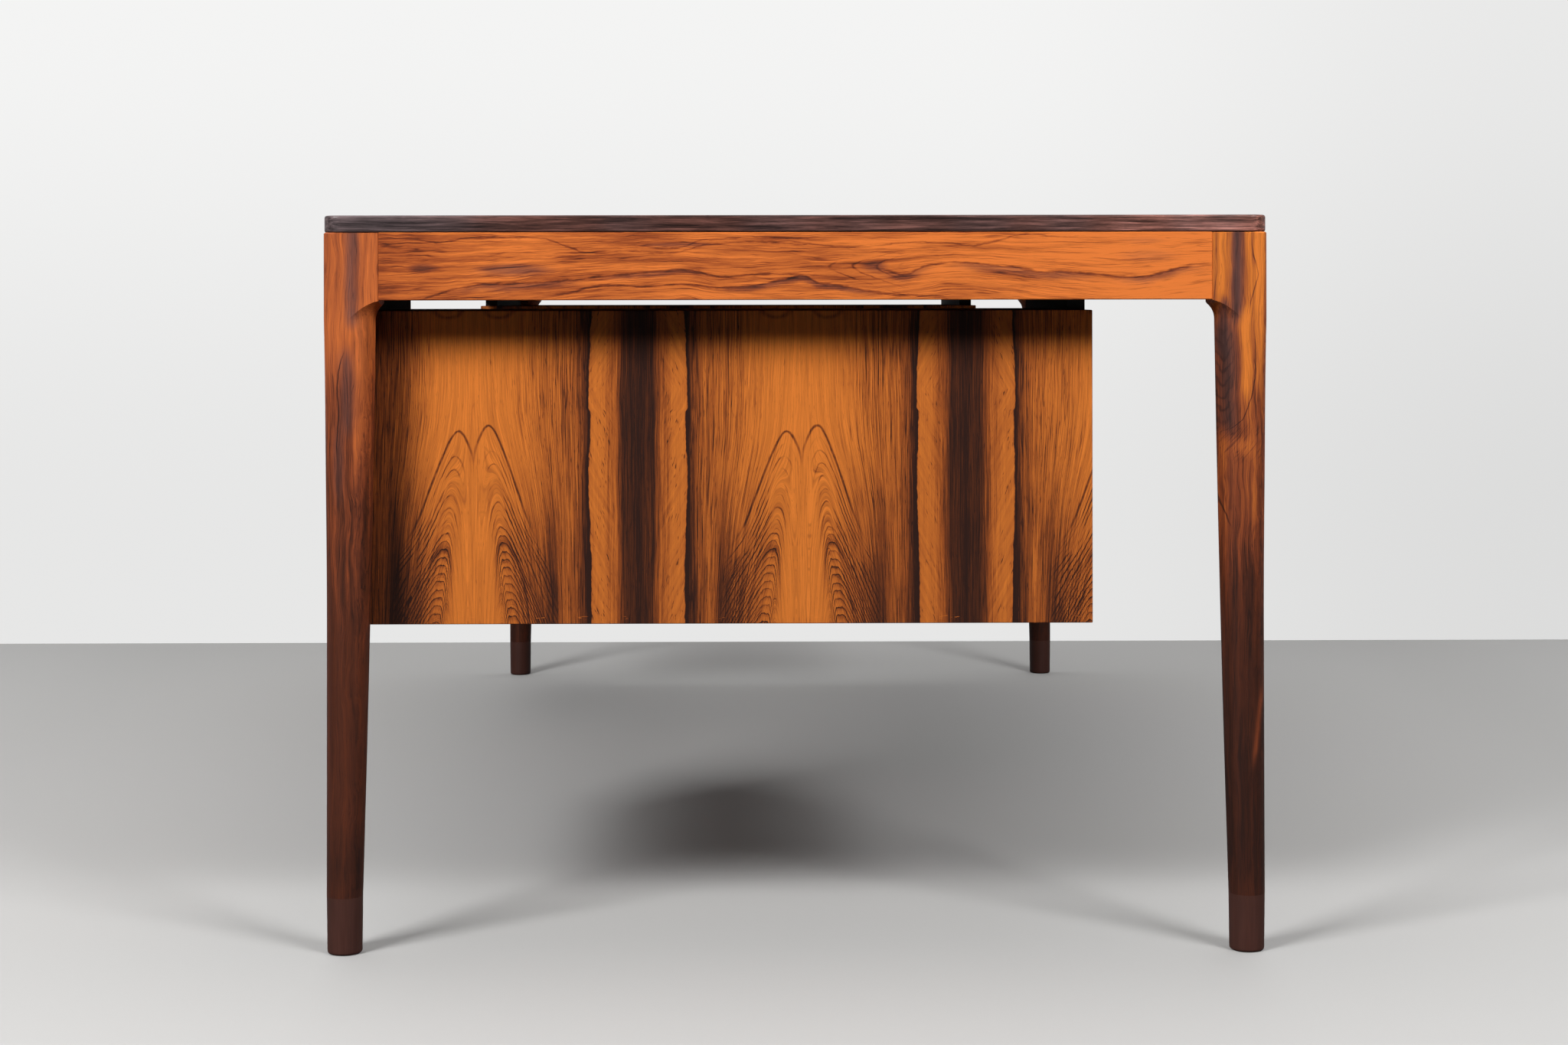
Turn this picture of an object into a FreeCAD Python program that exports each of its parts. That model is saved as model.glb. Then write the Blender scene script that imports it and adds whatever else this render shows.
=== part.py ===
"""A writing desk on four turned legs, with two hung pedestals of three drawers each.

The long way of the desk is X, with the end that the photograph faces at +X. The sitter
is at -Y, where the drawers open. Z is up, and the origin is on the floor under the middle.
"""
import FreeCAD, Part
import Sketcher
import math
import os

# Driving dimensions in millimetres. Each goes to a cell of the sheet with its own alias.
SIZES = {
    # Whole desk
    "desk_length": 1900,
    "desk_depth": 940,
    "desk_height": 735,
    # Desktop
    "top_thick": 17,
    "top_corner": 18,
    "top_arris": 2.5,
    "lipping_width": 12,
    # Rails between the legs, tenoned into them
    "rail_height": 67.5,
    "rail_thick": 22,
    "joint_arris": 0.8,
    "tenon_length": 24,
    "tenon_thick": 9,
    "tenon_shoulder": 9,
    "mortise_spare": 1,
    # Legs: a square block above, a scooped shoulder, and a round tapered shaft below
    "leg_inset": 1.2,
    "block_width": 54.5,
    "block_arris": 4,
    "block_chamfer": 1.2,
    "brace_flat": 15,
    "shaft_step": 6.2,
    "shaft_swell": 1,
    "scoop_spare": 4.4,
    "blend_drop": 282,
    # Feet, spliced to the shafts with dowels
    "foot_height": 57,
    "foot_top_width": 35.8,
    "foot_sole_width": 34.6,
    "foot_arris": 3,
    "dowel_radius": 6,
    "dowel_length": 50,
    "dowel_spare": 1,
    "glue_gap": 0.1,
    # Bearers: the front one backs the front rail, the rear one carries the pedestals, and the
    # cross rails lie on both
    "bearer_thick": 20,
    "front_bearer_depth": 58,
    "rear_bearer_depth": 68,
    "cross_rail_thick": 22,
    # Corner braces and their hanger bolts
    "brace_thick": 20,
    "brace_height": 30,
    "brace_drop": 8,
    "bolt_radius": 4,
    "bolt_bite": 28,
    "bolt_end": 3,
    "nut_width": 13,
    "nut_height": 6.5,
    "washer_radius": 8,
    "washer_thick": 1.5,
    "thread_gap": 0.1,
    # Angle brackets that hold the desktop down, with two screws each
    "bracket_leaf": 22,
    "bracket_width": 16,
    "bracket_thick": 2,
    "screw_radius": 1.8,
    "screw_length": 12,
    "screw_head_radius": 3.6,
    "screw_head_height": 2,
    # Spacer battens on top of the pedestals, under the front rail and the rear bearer
    "spacer_height": 10.5,
    "spacer_inset": 7,
    "spacer_depth": 18,
    "hang_bolt_radius": 3,
    "hang_bolt_bite": 14,
    "hang_head_radius": 6,
    "hang_head_height": 4,
    # Pedestals
    "pedestal_inset": 56.6,
    "pedestal_width": 410,
    "pedestal_rear_inset": 168,
    "pedestal_height": 318,
    "board_thick": 18,
    "board_arris": 1,
    "back_thick": 12,
    # Drawers
    "front_setback": 12,
    "front_thick": 18,
    "drawer_gap": 2,
    "drawer_end_gap": 1.5,
    "drawer_rear_gap": 30,
    "side_thick": 12,
    "side_lift": 6,
    "side_drop": 9,
    "rear_thick": 12,
    "rear_drop": 4,
    "bottom_thick": 6,
    "bottom_lift": 8,
    "groove_depth": 6,
    "tail_lap": 12,
    "tail_slope": 2.5,
    # Runners on the pedestal sides, in grooves of the drawer sides
    "runner_height": 12,
    "runner_rear_gap": 9.7,
    "runner_groove": 6.5,
    "runner_end_gap": 0.5,
    "runner_gap": 0.3,
    # Lip pulls
    "lip_height": 16,
    "lip_gap": 1,
    "lip_scoop": 7,
    "lip_arris": 2,
}

DRAWERS = 3
TAILS = 3
# How much of its pitch a dovetail's wide end takes.
TAIL_SHARE = 0.7
# How far up the drawer side the runner's middle lies.
RUNNER_SHARE = 0.6
# Where the angle brackets stand along a rail, from its middle.
END_BRACKET_SHARES = (-0.3, 0.3)
LONG_BRACKET_SHARES = (-0.4, 0.0, 0.4)
# Where the hanging bolts stand along a spacer, from its middle.
HANG_BOLT_SHARES = (-0.3, 0.3)
# The radius of the leg's outer corner as a share of the half width: on the round shaft, and
# at even steps up the blend to the nearly square block.
SHAFT_CORNER_SHARE = 0.98
BLEND_CORNER_SHARES = (0.96, 0.88, 0.75, 0.62, 0.52, 0.38)
SHAFT_STATIONS = 5

doc = FreeCAD.newDocument("desk")
sheet = doc.addObject("Spreadsheet::Sheet", "Sizes")
nodes = []


class Length:
    """A size of the desk: its expression on the sheet, and its value in millimetres."""

    def __init__(self, text, value):
        self.text = text
        self.value = value

    def __add__(self, other):
        return Length(f"({self.text} + {other.text})", self.value + other.value)

    def __sub__(self, other):
        return Length(f"({self.text} - {other.text})", self.value - other.value)

    def __mul__(self, factor):
        return Length(f"({self.text} * {factor})", self.value * factor)

    def __truediv__(self, factor):
        return Length(f"({self.text} / {factor})", self.value / factor)

    def __neg__(self):
        return Length(f"(-1 * {self.text})", -self.value)


def diagonal(first, second):
    """The length of the slanting side over two square ones."""
    text = f"sqrt({first.text} * {first.text} + {second.text} * {second.text})"
    return Length(text, math.hypot(first.value, second.value))


def fill_sheet():
    """Write the driving dimensions to the sheet and return them by name."""
    for row, (name, value) in enumerate(SIZES.items(), start=1):
        sheet.set(f"A{row}", name)
        sheet.set(f"B{row}", str(value))
        sheet.setAlias(f"B{row}", name)
    doc.recompute()
    return {name: Length("Sizes." + name, float(sheet.get(name))) for name in SIZES}


class Named:
    """The sheet's sizes as plain attributes."""

    def __init__(self, sizes):
        self.__dict__.update(sizes)


at = Named(fill_sheet())
zero = Length("0", 0.0)

# Places that several pieces share
end = at.desk_length / 2
side = at.desk_depth / 2
frame_top = at.desk_height - at.top_thick
frame_bottom = frame_top - at.rail_height
frame_end = end - at.leg_inset
frame_side = side - at.leg_inset
block_end = frame_end - at.block_width
block_side = frame_side - at.block_width
rail_inner_end = frame_end - at.rail_thick
rail_inner_side = frame_side - at.rail_thick
bearer_top = frame_bottom + at.bearer_thick
pedestal_top = frame_bottom - at.spacer_height
pedestal_bottom = pedestal_top - at.pedestal_height
pedestal_outer = end - at.pedestal_inset
pedestal_inner = pedestal_outer - at.pedestal_width
pedestal_middle = (pedestal_outer + pedestal_inner) / 2
pedestal_front = -side
pedestal_rear = side - at.pedestal_rear_inset
front_spacer = (pedestal_front + at.spacer_inset,
                pedestal_front + at.spacer_inset + at.spacer_depth)
rear_spacer = (pedestal_rear - at.spacer_inset - at.spacer_depth,
               pedestal_rear - at.spacer_inset)
shaft_top_width = at.block_width - at.shaft_step
shaft_half = shaft_top_width / 2
scoop_radius = diagonal(shaft_half, at.block_width - shaft_half) - shaft_half + at.scoop_spare
shaft_top = frame_bottom - scoop_radius


def spread(middle, width):
    """The two ends of a width about its middle."""
    return (middle - width / 2, middle + width / 2)


def mirrored(hand, span):
    """A span of X on the right (hand 1) or on the left (hand -1) half of the desk."""
    if hand > 0:
        return span
    return (-span[1], -span[0])


def handed(hand, place):
    """One place of X or Y on the plus (hand 1) or minus (hand -1) half of the desk."""
    return place if hand > 0 else -place


AXES = {"x": FreeCAD.Vector(1, 0, 0), "y": FreeCAD.Vector(0, 1, 0), "z": FreeCAD.Vector(0, 0, 1)}


class Piece:
    """One piece of wood or metal, built up in a body of its own."""

    def __init__(self, label):
        self.body = doc.addObject("PartDesign::Body", label)
        self.body.Label = label

    def feature(self, kind, place, turn=None, **sizes):
        """Add a primitive whose sizes and place are bound to the sheet."""
        item = self.body.newObject("PartDesign::" + kind, f"{self.body.Name}_{kind}")
        for name, size in sizes.items():
            item.setExpression(name, size.text)
        if turn is not None:
            item.Placement = FreeCAD.Placement(FreeCAD.Vector(), turn)
        for axis, size in zip("xyz", place):
            item.setExpression(".Placement.Base." + axis, size.text)
        return item

    def box(self, x, y, z, kind="AdditiveBox"):
        """Add or cut a box between the two ends given along each axis."""
        self.feature(kind, (x[0], y[0], z[0]), Length=x[1] - x[0], Width=y[1] - y[0],
                     Height=z[1] - z[0])
        return self

    def cut(self, x, y, z):
        return self.box(x, y, z, "SubtractiveBox")

    def rod(self, place, direction, radius, length, kind="AdditiveCylinder"):
        """Add or cut a cylinder that starts at a place and runs along a direction."""
        turn = FreeCAD.Rotation(AXES["z"], direction)
        self.feature(kind, place, turn, Radius=radius, Height=length)
        return self

    def hole(self, place, direction, radius, length):
        return self.rod(place, direction, radius, length, "SubtractiveCylinder")

    def ease(self, chosen, size, kind="Fillet"):
        """Round or chamfer the edges of the shape so far that a test chooses."""
        doc.recompute()
        base = self.body.Tip
        names = [f"Edge{number}" for number, edge in enumerate(base.Shape.Edges, start=1)
                 if chosen(edge)]
        if not names:
            raise RuntimeError(f"no edge to ease on {self.body.Label}")
        item = self.body.newObject("PartDesign::" + kind, f"{self.body.Name}_{kind}")
        item.Base = (base, names)
        item.setExpression("Radius" if kind == "Fillet" else "Size", size.text)
        return self

    def node(self):
        nodes.append(self.body)
        return self.body


def group(label, pieces):
    """One node that holds several like pieces as separate solids."""
    item = doc.addObject("Part::Compound", label)
    item.Label = label
    item.Links = [piece.body for piece in pieces]
    nodes.append(item)


def near(first, second):
    """True where two values in millimetres are the same place."""
    return math.isclose(first, second, abs_tol=at.glue_gap.value / 10)


def edge_on(x=None, y=None, z=None):
    """A test that keeps the straight edges lying wholly on the places given."""
    wanted = {"x": x, "y": y, "z": z}

    def chosen(edge):
        ends = [vertex.Point for vertex in edge.Vertexes]
        for axis, place in wanted.items():
            if place is None:
                continue
            if not all(near(getattr(point, axis), place.value) for point in ends):
                return False
        return True
    return chosen


def any_of(*tests):
    return lambda edge: any(test(edge) for test in tests)


def attach(body, sketch, role):
    """Put a sketch on one of its own body's origin planes."""
    plane = [item for item in body.Origin.OriginFeatures if item.Role == role][0]
    sketch.AttachmentSupport = (plane, "")
    sketch.MapMode = "FlatFace"


def outline(body, role, corners):
    """A closed sketch of straight lines, each corner held by two bound distances."""
    sketch = body.newObject("Sketcher::SketchObject", body.Name + "_sketch")
    attach(body, sketch, role)
    points = [FreeCAD.Vector(across.value, up.value, 0) for across, up in corners]
    for start, stop in zip(points, points[1:] + points[:1]):
        sketch.addGeometry(Part.LineSegment(start, stop), False)
    for line in range(len(points)):
        following = (line + 1) % len(points)
        sketch.addConstraint(Sketcher.Constraint("Coincident", line, 2, following, 1))
    for line, (across, up) in enumerate(corners):
        for kind, size in (("DistanceX", across), ("DistanceY", up)):
            index = sketch.addConstraint(
                Sketcher.Constraint(kind, -1, 1, line, 1, size.value))
            sketch.setExpression(f"Constraints[{index}]", size.text)
    return sketch


def place_body(body, x, y, z):
    """Bind a body's placement to the sheet."""
    for axis, size in zip("xyz", (x, y, z)):
        body.setExpression(".Placement.Base." + axis, size.text)


# Desktop: a veneered panel inside four lippings of solid wood

def desktop():
    inner_x = spread(zero, at.desk_length - at.lipping_width * 2)
    inner_y = spread(zero, at.desk_depth - at.lipping_width * 2)
    thickness = (frame_top, at.desk_height)
    panel = Piece("desktop_panel").box(inner_x, inner_y, thickness)
    for place, direction in bracket_screw_places():
        if direction.z:
            panel.hole(place, direction, at.screw_radius + at.thread_gap, at.screw_length)
    panel.node()

    slab = doc.addObject("PartDesign::Body", "desktop_slab")
    length = at.desk_length
    depth = at.desk_depth
    corners = [(zero, zero), (length, zero), (length, depth), (zero, depth)]
    sketch = outline(slab, "XY_Plane", corners)
    pad = slab.newObject("PartDesign::Pad", "slab_pad")
    pad.Profile = sketch
    pad.setExpression("Length", at.top_thick.text)
    doc.recompute()
    upright = [f"Edge{number}" for number, edge in enumerate(pad.Shape.Edges, start=1)
               if near(edge.BoundBox.ZLength, at.top_thick.value)]
    rounded = slab.newObject("PartDesign::Fillet", "slab_corners")
    rounded.Base = (pad, upright)
    rounded.setExpression("Radius", at.top_corner.text)
    doc.recompute()
    rims = [f"Edge{number}" for number, edge in enumerate(rounded.Shape.Edges, start=1)
            if edge.BoundBox.ZLength < at.glue_gap.value]
    arris = slab.newObject("PartDesign::Fillet", "slab_arris")
    arris.Base = (rounded, rims)
    arris.setExpression("Radius", at.top_arris.text)
    place_body(slab, -end, -side, frame_top)

    strips = []
    for hand in (1, -1):
        strips.append((mirrored(hand, (inner_x[1], end)), spread(zero, at.desk_depth)))
        strips.append((inner_x, mirrored(hand, (inner_y[1], side))))
    lippings = doc.addObject("Part::Compound", "desktop_lippings")
    lippings.Label = "desktop_lippings"
    cuts = []
    for x, y in strips:
        strip = Piece("lipping_strip").box(x, y, thickness)
        common = doc.addObject("Part::Common", "lipping")
        common.Base = slab
        common.Tool = strip.body
        cuts.append(common)
    lippings.Links = cuts
    nodes.append(lippings)


# Legs and feet

def leg_section(height, half, corner):
    """The leg's outline at a height: round on three corners, eased on the outer one."""
    def point(across, along):
        return FreeCAD.Vector(across, along, height)

    def round_corner(start, turn, stop):
        slant = half * math.sqrt(0.5)
        middle = point(half + turn[0] * slant, half + turn[1] * slant)
        return Part.Arc(start, middle, stop).toShape()

    low = point(half, 0)
    right = point(half * 2, half)
    top = point(half, half * 2)
    left = point(0, half)
    corner_left = point(0, corner)
    corner_low = point(corner, 0)
    tuck = corner * (1 - math.sqrt(0.5))
    edges = [
        round_corner(low, (1, -1), right),
        round_corner(right, (1, 1), top),
        round_corner(top, (-1, 1), left),
        Part.LineSegment(left, corner_left).toShape(),
        Part.Arc(corner_left, point(tuck, tuck), corner_low).toShape(),
        Part.LineSegment(corner_low, low).toShape(),
    ]
    return Part.Wire(edges)


def leg_shaft():
    """The round tapered shaft, whose outer corner turns square towards the block."""
    low = at.foot_height.value
    high = shaft_top.value
    half_low = at.foot_top_width.value / 2
    half_high = shaft_half.value
    blend_start = high - at.blend_drop.value

    def half_at(height):
        rise = (height - low) / (high - low)
        swell = 4 * rise * (1 - rise) * at.shaft_swell.value / 2
        return half_low + (half_high - half_low) * rise + swell

    round_rise = (blend_start - low) / SHAFT_STATIONS
    blend_rise = at.blend_drop.value / len(BLEND_CORNER_SHARES)
    stations = [(low + round_rise * step, SHAFT_CORNER_SHARE) for step in range(SHAFT_STATIONS)]
    stations += [(blend_start + blend_rise * step, share)
                 for step, share in enumerate(BLEND_CORNER_SHARES)]
    sections = [leg_section(height, half_at(height), share * half_at(height))
                for height, share in stations]
    sections.append(leg_section(high, half_high, at.block_arris.value))
    return Part.makeLoft(sections, True, False)


def leg_block():
    """The square block, scooped out below on the three corners away from the outside."""
    width = at.block_width.value
    small = at.joint_arris.value
    arris = at.block_arris.value
    flat = at.brace_flat.value
    height = shaft_top.value
    tuck = arris * (1 - math.sqrt(0.5))
    corners = [(arris, 0), (width - small, 0), (width, small), (width, width - flat),
               (width - flat, width), (small, width), (0, width - small), (0, arris)]
    points = [FreeCAD.Vector(across, along, height) for across, along in corners]
    edges = [Part.LineSegment(start, stop).toShape()
             for start, stop in zip(points, points[1:])]
    edges.append(Part.Arc(points[-1], FreeCAD.Vector(tuck, tuck, height), points[0]).toShape())
    tall = frame_top.value - height
    block = Part.Face(Part.Wire(edges)).extrude(FreeCAD.Vector(0, 0, tall))
    rim = [edge for edge in block.Edges
           if near(edge.BoundBox.ZMin, frame_top.value)]
    block = block.makeChamfer(at.block_chamfer.value, rim)

    middle = shaft_half.value
    radius = scoop_radius.value
    scoop = Part.makeTorus(middle + radius, radius, FreeCAD.Vector(middle, middle, height))
    keep = Part.makeBox(middle, middle, 2 * radius, FreeCAD.Vector(0, 0, height - radius))
    return block.cut(scoop.cut(keep))


def leg_recesses():
    """The mortises, the hanger bolt's hole and the dowel's hole in a leg."""
    width = at.block_width.value
    depth = at.tenon_length.value + at.mortise_spare.value
    inset = (at.rail_thick.value - at.tenon_thick.value) / 2
    low = frame_bottom.value + at.tenon_shoulder.value
    tall = at.rail_height.value - 2 * at.tenon_shoulder.value
    thick = at.tenon_thick.value
    recesses = [
        Part.makeBox(depth, thick, tall, FreeCAD.Vector(width - depth, inset, low)),
        Part.makeBox(thick, depth, tall, FreeCAD.Vector(inset, width - depth, low)),
    ]
    mouth = width - at.brace_flat.value / 2
    inward = FreeCAD.Vector(-1, -1, 0)
    bolt_height = frame_top.value - at.brace_drop.value - at.brace_height.value / 2
    recesses.append(Part.makeCylinder(
        at.bolt_radius.value + at.thread_gap.value, at.bolt_bite.value + at.mortise_spare.value,
        FreeCAD.Vector(mouth, mouth, bolt_height), inward))
    middle = at.foot_top_width.value / 2
    recesses.append(Part.makeCylinder(
        at.dowel_radius.value + at.glue_gap.value,
        at.dowel_length.value / 2 + at.dowel_spare.value,
        FreeCAD.Vector(middle, middle, at.foot_height.value)))
    return recesses


def legs():
    leg = doc.addObject("Part::Feature", "left_front_leg")
    leg.Label = "left_front_leg"
    shape = leg_shaft().fuse(leg_block())
    for recess in leg_recesses():
        shape = shape.cut(recess)
    leg.Shape = shape.removeSplitter()
    leg.Placement = FreeCAD.Placement(
        FreeCAD.Vector(-frame_end.value, -frame_side.value, 0), FreeCAD.Rotation())
    nodes.append(leg)
    made = {"left_front_leg": leg}
    copies = (("right_front_leg", "left_front_leg", "x"),
              ("left_back_leg", "left_front_leg", "y"),
              ("right_back_leg", "right_front_leg", "y"))
    for label, source, axis in copies:
        copy = doc.addObject("Part::Mirroring", label)
        copy.Label = label
        copy.Source = made[source]
        copy.Normal = AXES[axis]
        made[label] = copy
        nodes.append(copy)


def foot(label, hand_x, hand_y):
    """A turned foot, with the dowel's hole in its top."""
    body = doc.addObject("PartDesign::Body", label)
    body.Label = label
    hole = at.dowel_radius + at.glue_gap
    hole_floor = at.foot_height - at.dowel_length / 2 - at.dowel_spare
    corners = [(zero, zero), (at.foot_sole_width / 2, zero),
               (at.foot_top_width / 2, at.foot_height), (hole, at.foot_height),
               (hole, hole_floor), (zero, hole_floor)]
    sketch = outline(body, "XZ_Plane", corners)
    turned = body.newObject("PartDesign::Revolution", label + "_turned")
    turned.Profile = sketch
    turned.ReferenceAxis = (sketch, ["V_Axis"])
    turned.Angle = 360
    doc.recompute()
    sole = [f"Edge{number}" for number, edge in enumerate(turned.Shape.Edges, start=1)
            if edge.BoundBox.ZMax < at.foot_arris.value and edge.BoundBox.ZLength < at.glue_gap.value]
    arris = body.newObject("PartDesign::Fillet", label + "_arris")
    arris.Base = (turned, sole)
    arris.setExpression("Radius", at.foot_arris.text)
    inset = at.foot_top_width / 2
    place_body(body, handed(hand_x, frame_end - inset), handed(hand_y, frame_side - inset), zero)
    nodes.append(body)


def feet():
    dowels = []
    inset = at.foot_top_width / 2
    for hand_x, word_x in ((1, "right"), (-1, "left")):
        for hand_y, word_y in ((-1, "front"), (1, "back")):
            foot(f"{word_x}_{word_y}_foot", hand_x, hand_y)
            place = (handed(hand_x, frame_end - inset), handed(hand_y, frame_side - inset),
                     at.foot_height - at.dowel_length / 2)
            dowels.append(Piece("dowel").rod(place, AXES["z"], at.dowel_radius, at.dowel_length))
    group("foot_dowels", dowels)


# Underframe

def bracket_places():
    """Where each angle bracket's corner lies, and the way it faces off its rail."""
    places = []
    clear_depth = block_side * 2
    clear_length = block_end * 2
    for hand in (1, -1):
        for share in END_BRACKET_SHARES:
            places.append(("x", hand, handed(hand, rail_inner_end), clear_depth * share))
        for share in LONG_BRACKET_SHARES:
            places.append(("y", hand, clear_length * share, handed(hand, rail_inner_side)))
    return places


def bracket_screw_places():
    """Where each bracket screw starts under its head, and the way that it runs."""
    places = []
    reach = at.bracket_thick + (at.bracket_leaf - at.bracket_thick) / 2
    low = frame_top - reach
    for axis, hand, x, y in bracket_places():
        outward = AXES[axis] * hand
        inward = -hand
        if axis == "x":
            places.append(((x, y, low), outward))
            places.append(((x + reach * inward, y, frame_top), AXES["z"]))
        else:
            places.append(((x, y, low), outward))
            places.append(((x, y + reach * inward, frame_top), AXES["z"]))
    return places


def rail_screw_holes(piece, axis, hand):
    """The screws' holes in one rail, for the brackets that stand on it."""
    outward = AXES[axis] * hand
    for place, direction in bracket_screw_places():
        if (direction - outward).Length < at.glue_gap.value:
            piece.hole(place, direction, at.screw_radius + at.thread_gap, at.screw_length)


def end_rail(label, hand):
    x = mirrored(hand, (rail_inner_end, frame_end))
    y = spread(zero, block_side * 2)
    z = (frame_bottom, frame_top)
    tenon_x = spread((x[0] + x[1]) / 2, at.tenon_thick)
    tenon_y = spread(zero, block_side * 2 + at.tenon_length * 2)
    tenon_z = (frame_bottom + at.tenon_shoulder, frame_top - at.tenon_shoulder)
    outer = handed(hand, frame_end)
    piece = Piece(label).box(x, y, z)
    piece.ease(any_of(edge_on(x=outer, y=y[0]), edge_on(x=outer, y=y[1]),
                      edge_on(x=outer, z=z[0])), at.joint_arris, "Chamfer")
    piece.box(tenon_x, tenon_y, tenon_z)
    rail_screw_holes(piece, "x", hand)
    piece.node()


def long_rail(label, hand):
    x = spread(zero, block_end * 2)
    y = mirrored(hand, (rail_inner_side, frame_side))
    z = (frame_bottom, frame_top)
    tenon_x = spread(zero, block_end * 2 + at.tenon_length * 2)
    tenon_y = spread((y[0] + y[1]) / 2, at.tenon_thick)
    tenon_z = (frame_bottom + at.tenon_shoulder, frame_top - at.tenon_shoulder)
    outer = handed(hand, frame_side)
    piece = Piece(label).box(x, y, z)
    piece.ease(any_of(edge_on(y=outer, x=x[0]), edge_on(y=outer, x=x[1]),
                      edge_on(y=outer, z=z[0])), at.joint_arris, "Chamfer")
    piece.box(tenon_x, tenon_y, tenon_z)
    rail_screw_holes(piece, "y", hand)
    hang_holes(piece, frame_bottom, at.hang_bolt_bite + at.mortise_spare, y=y)
    piece.node()


def hang_bolt_places():
    """Where each hanging bolt stands, in X and Y."""
    places = []
    for hand in (1, -1):
        for share in HANG_BOLT_SHARES:
            x = handed(hand, pedestal_middle + at.pedestal_width * share)
            for spacer in (front_spacer, rear_spacer):
                places.append((x, (spacer[0] + spacer[1]) / 2))
    return places


def hang_holes(piece, low, length, x=None, y=None):
    """Clearance holes for the hanging bolts that pass through the spans given."""
    for place_x, place_y in hang_bolt_places():
        if x is not None and not x[0].value < place_x.value < x[1].value:
            continue
        if y is not None and not y[0].value < place_y.value < y[1].value:
            continue
        piece.hole((place_x, place_y, low), AXES["z"], at.hang_bolt_radius + at.thread_gap,
                   length)


def bearers():
    z = (frame_bottom, bearer_top)
    front_y = (-rail_inner_side, -rail_inner_side + at.front_bearer_depth)
    Piece("front_bearer").box(spread(zero, block_end * 2), front_y, z).node()
    rear_y = (rear_spacer[1] - at.rear_bearer_depth, rear_spacer[1])
    rear = Piece("rear_bearer").box(spread(zero, rail_inner_end * 2), rear_y, z)
    hang_holes(rear, frame_bottom, at.hang_bolt_bite + at.mortise_spare, y=rear_y)
    rear.node()
    rails = []
    for hand in (1, -1):
        x = mirrored(hand, (pedestal_inner, pedestal_inner + at.cross_rail_thick))
        rails.append(Piece("cross_rail").box(x, spread(zero, rail_inner_side * 2),
                                             (bearer_top, frame_top)))
    group("cross_rails", rails)


def corner_braces():
    """Diagonal braces behind the legs, each drawn to its leg by a hanger bolt."""
    low = frame_top - at.brace_drop - at.brace_height
    z = (low, low + at.brace_height)
    bolt_z = low + at.brace_height / 2
    slant = math.sqrt(0.5)
    face = at.block_width - at.brace_flat / 2
    reach = face + at.brace_thick * slant
    span = at.block_width * 2
    braces, bolts, nuts, washers = [], [], [], []
    for hand_x in (1, -1):
        for hand_y in (1, -1):
            inward = FreeCAD.Vector(-hand_x, -hand_y, 0)
            turn = FreeCAD.Rotation(AXES["x"], inward)

            def corner(across, along):
                return (handed(hand_x, frame_end - across), handed(hand_y, frame_side - along))

            sideways = turn.multVec(AXES["y"])
            start_x, start_y = corner(face, face)
            start_x = start_x - span * (sideways.x)
            start_y = start_y - span * (sideways.y)
            brace = Piece("brace")
            brace.feature("AdditiveBox", (start_x, start_y, z[0]), turn,
                          Length=at.brace_thick, Width=span * 2, Height=at.brace_height)
            wide = span * 2
            rail_x = mirrored(hand_x, (rail_inner_end, rail_inner_end + wide))
            rail_y = mirrored(hand_y, (rail_inner_side, rail_inner_side + wide))
            brace.cut(rail_x, spread(handed(hand_y, frame_side), wide * 2), z)
            brace.cut(spread(handed(hand_x, frame_end), wide * 2), rail_y, z)
            mouth_x, mouth_y = corner(face, face)
            brace.hole((mouth_x, mouth_y, bolt_z), inward, at.bolt_radius + at.thread_gap,
                       at.brace_thick)
            braces.append(brace)

            tip = face - at.bolt_bite * slant
            tip_x, tip_y = corner(tip, tip)
            length = (at.bolt_bite + at.brace_thick + at.washer_thick + at.nut_height
                      + at.bolt_end)
            bolts.append(Piece("bolt").rod((tip_x, tip_y, bolt_z), inward, at.bolt_radius,
                                           length))
            seat_x, seat_y = corner(reach, reach)
            hole = at.bolt_radius + at.thread_gap
            washer = Piece("washer").rod((seat_x, seat_y, bolt_z), inward,
                                         at.washer_radius, at.washer_thick)
            washer.hole((seat_x, seat_y, bolt_z), inward, hole, at.washer_thick)
            washers.append(washer)
            on_washer = reach + at.washer_thick * slant
            nut_x, nut_y = corner(on_washer, on_washer)
            nut = Piece("nut")
            nut_turn = FreeCAD.Rotation(AXES["z"], inward)
            nut.feature("AdditivePrism", (nut_x, nut_y, bolt_z), nut_turn,
                        Circumradius=at.nut_width / math.sqrt(3), Height=at.nut_height)
            nut.hole((nut_x, nut_y, bolt_z), inward, hole, at.nut_height)
            nuts.append(nut)
    group("corner_braces", braces)
    group("corner_bolts", bolts)
    group("corner_nuts_and_washers", nuts + washers)


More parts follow.
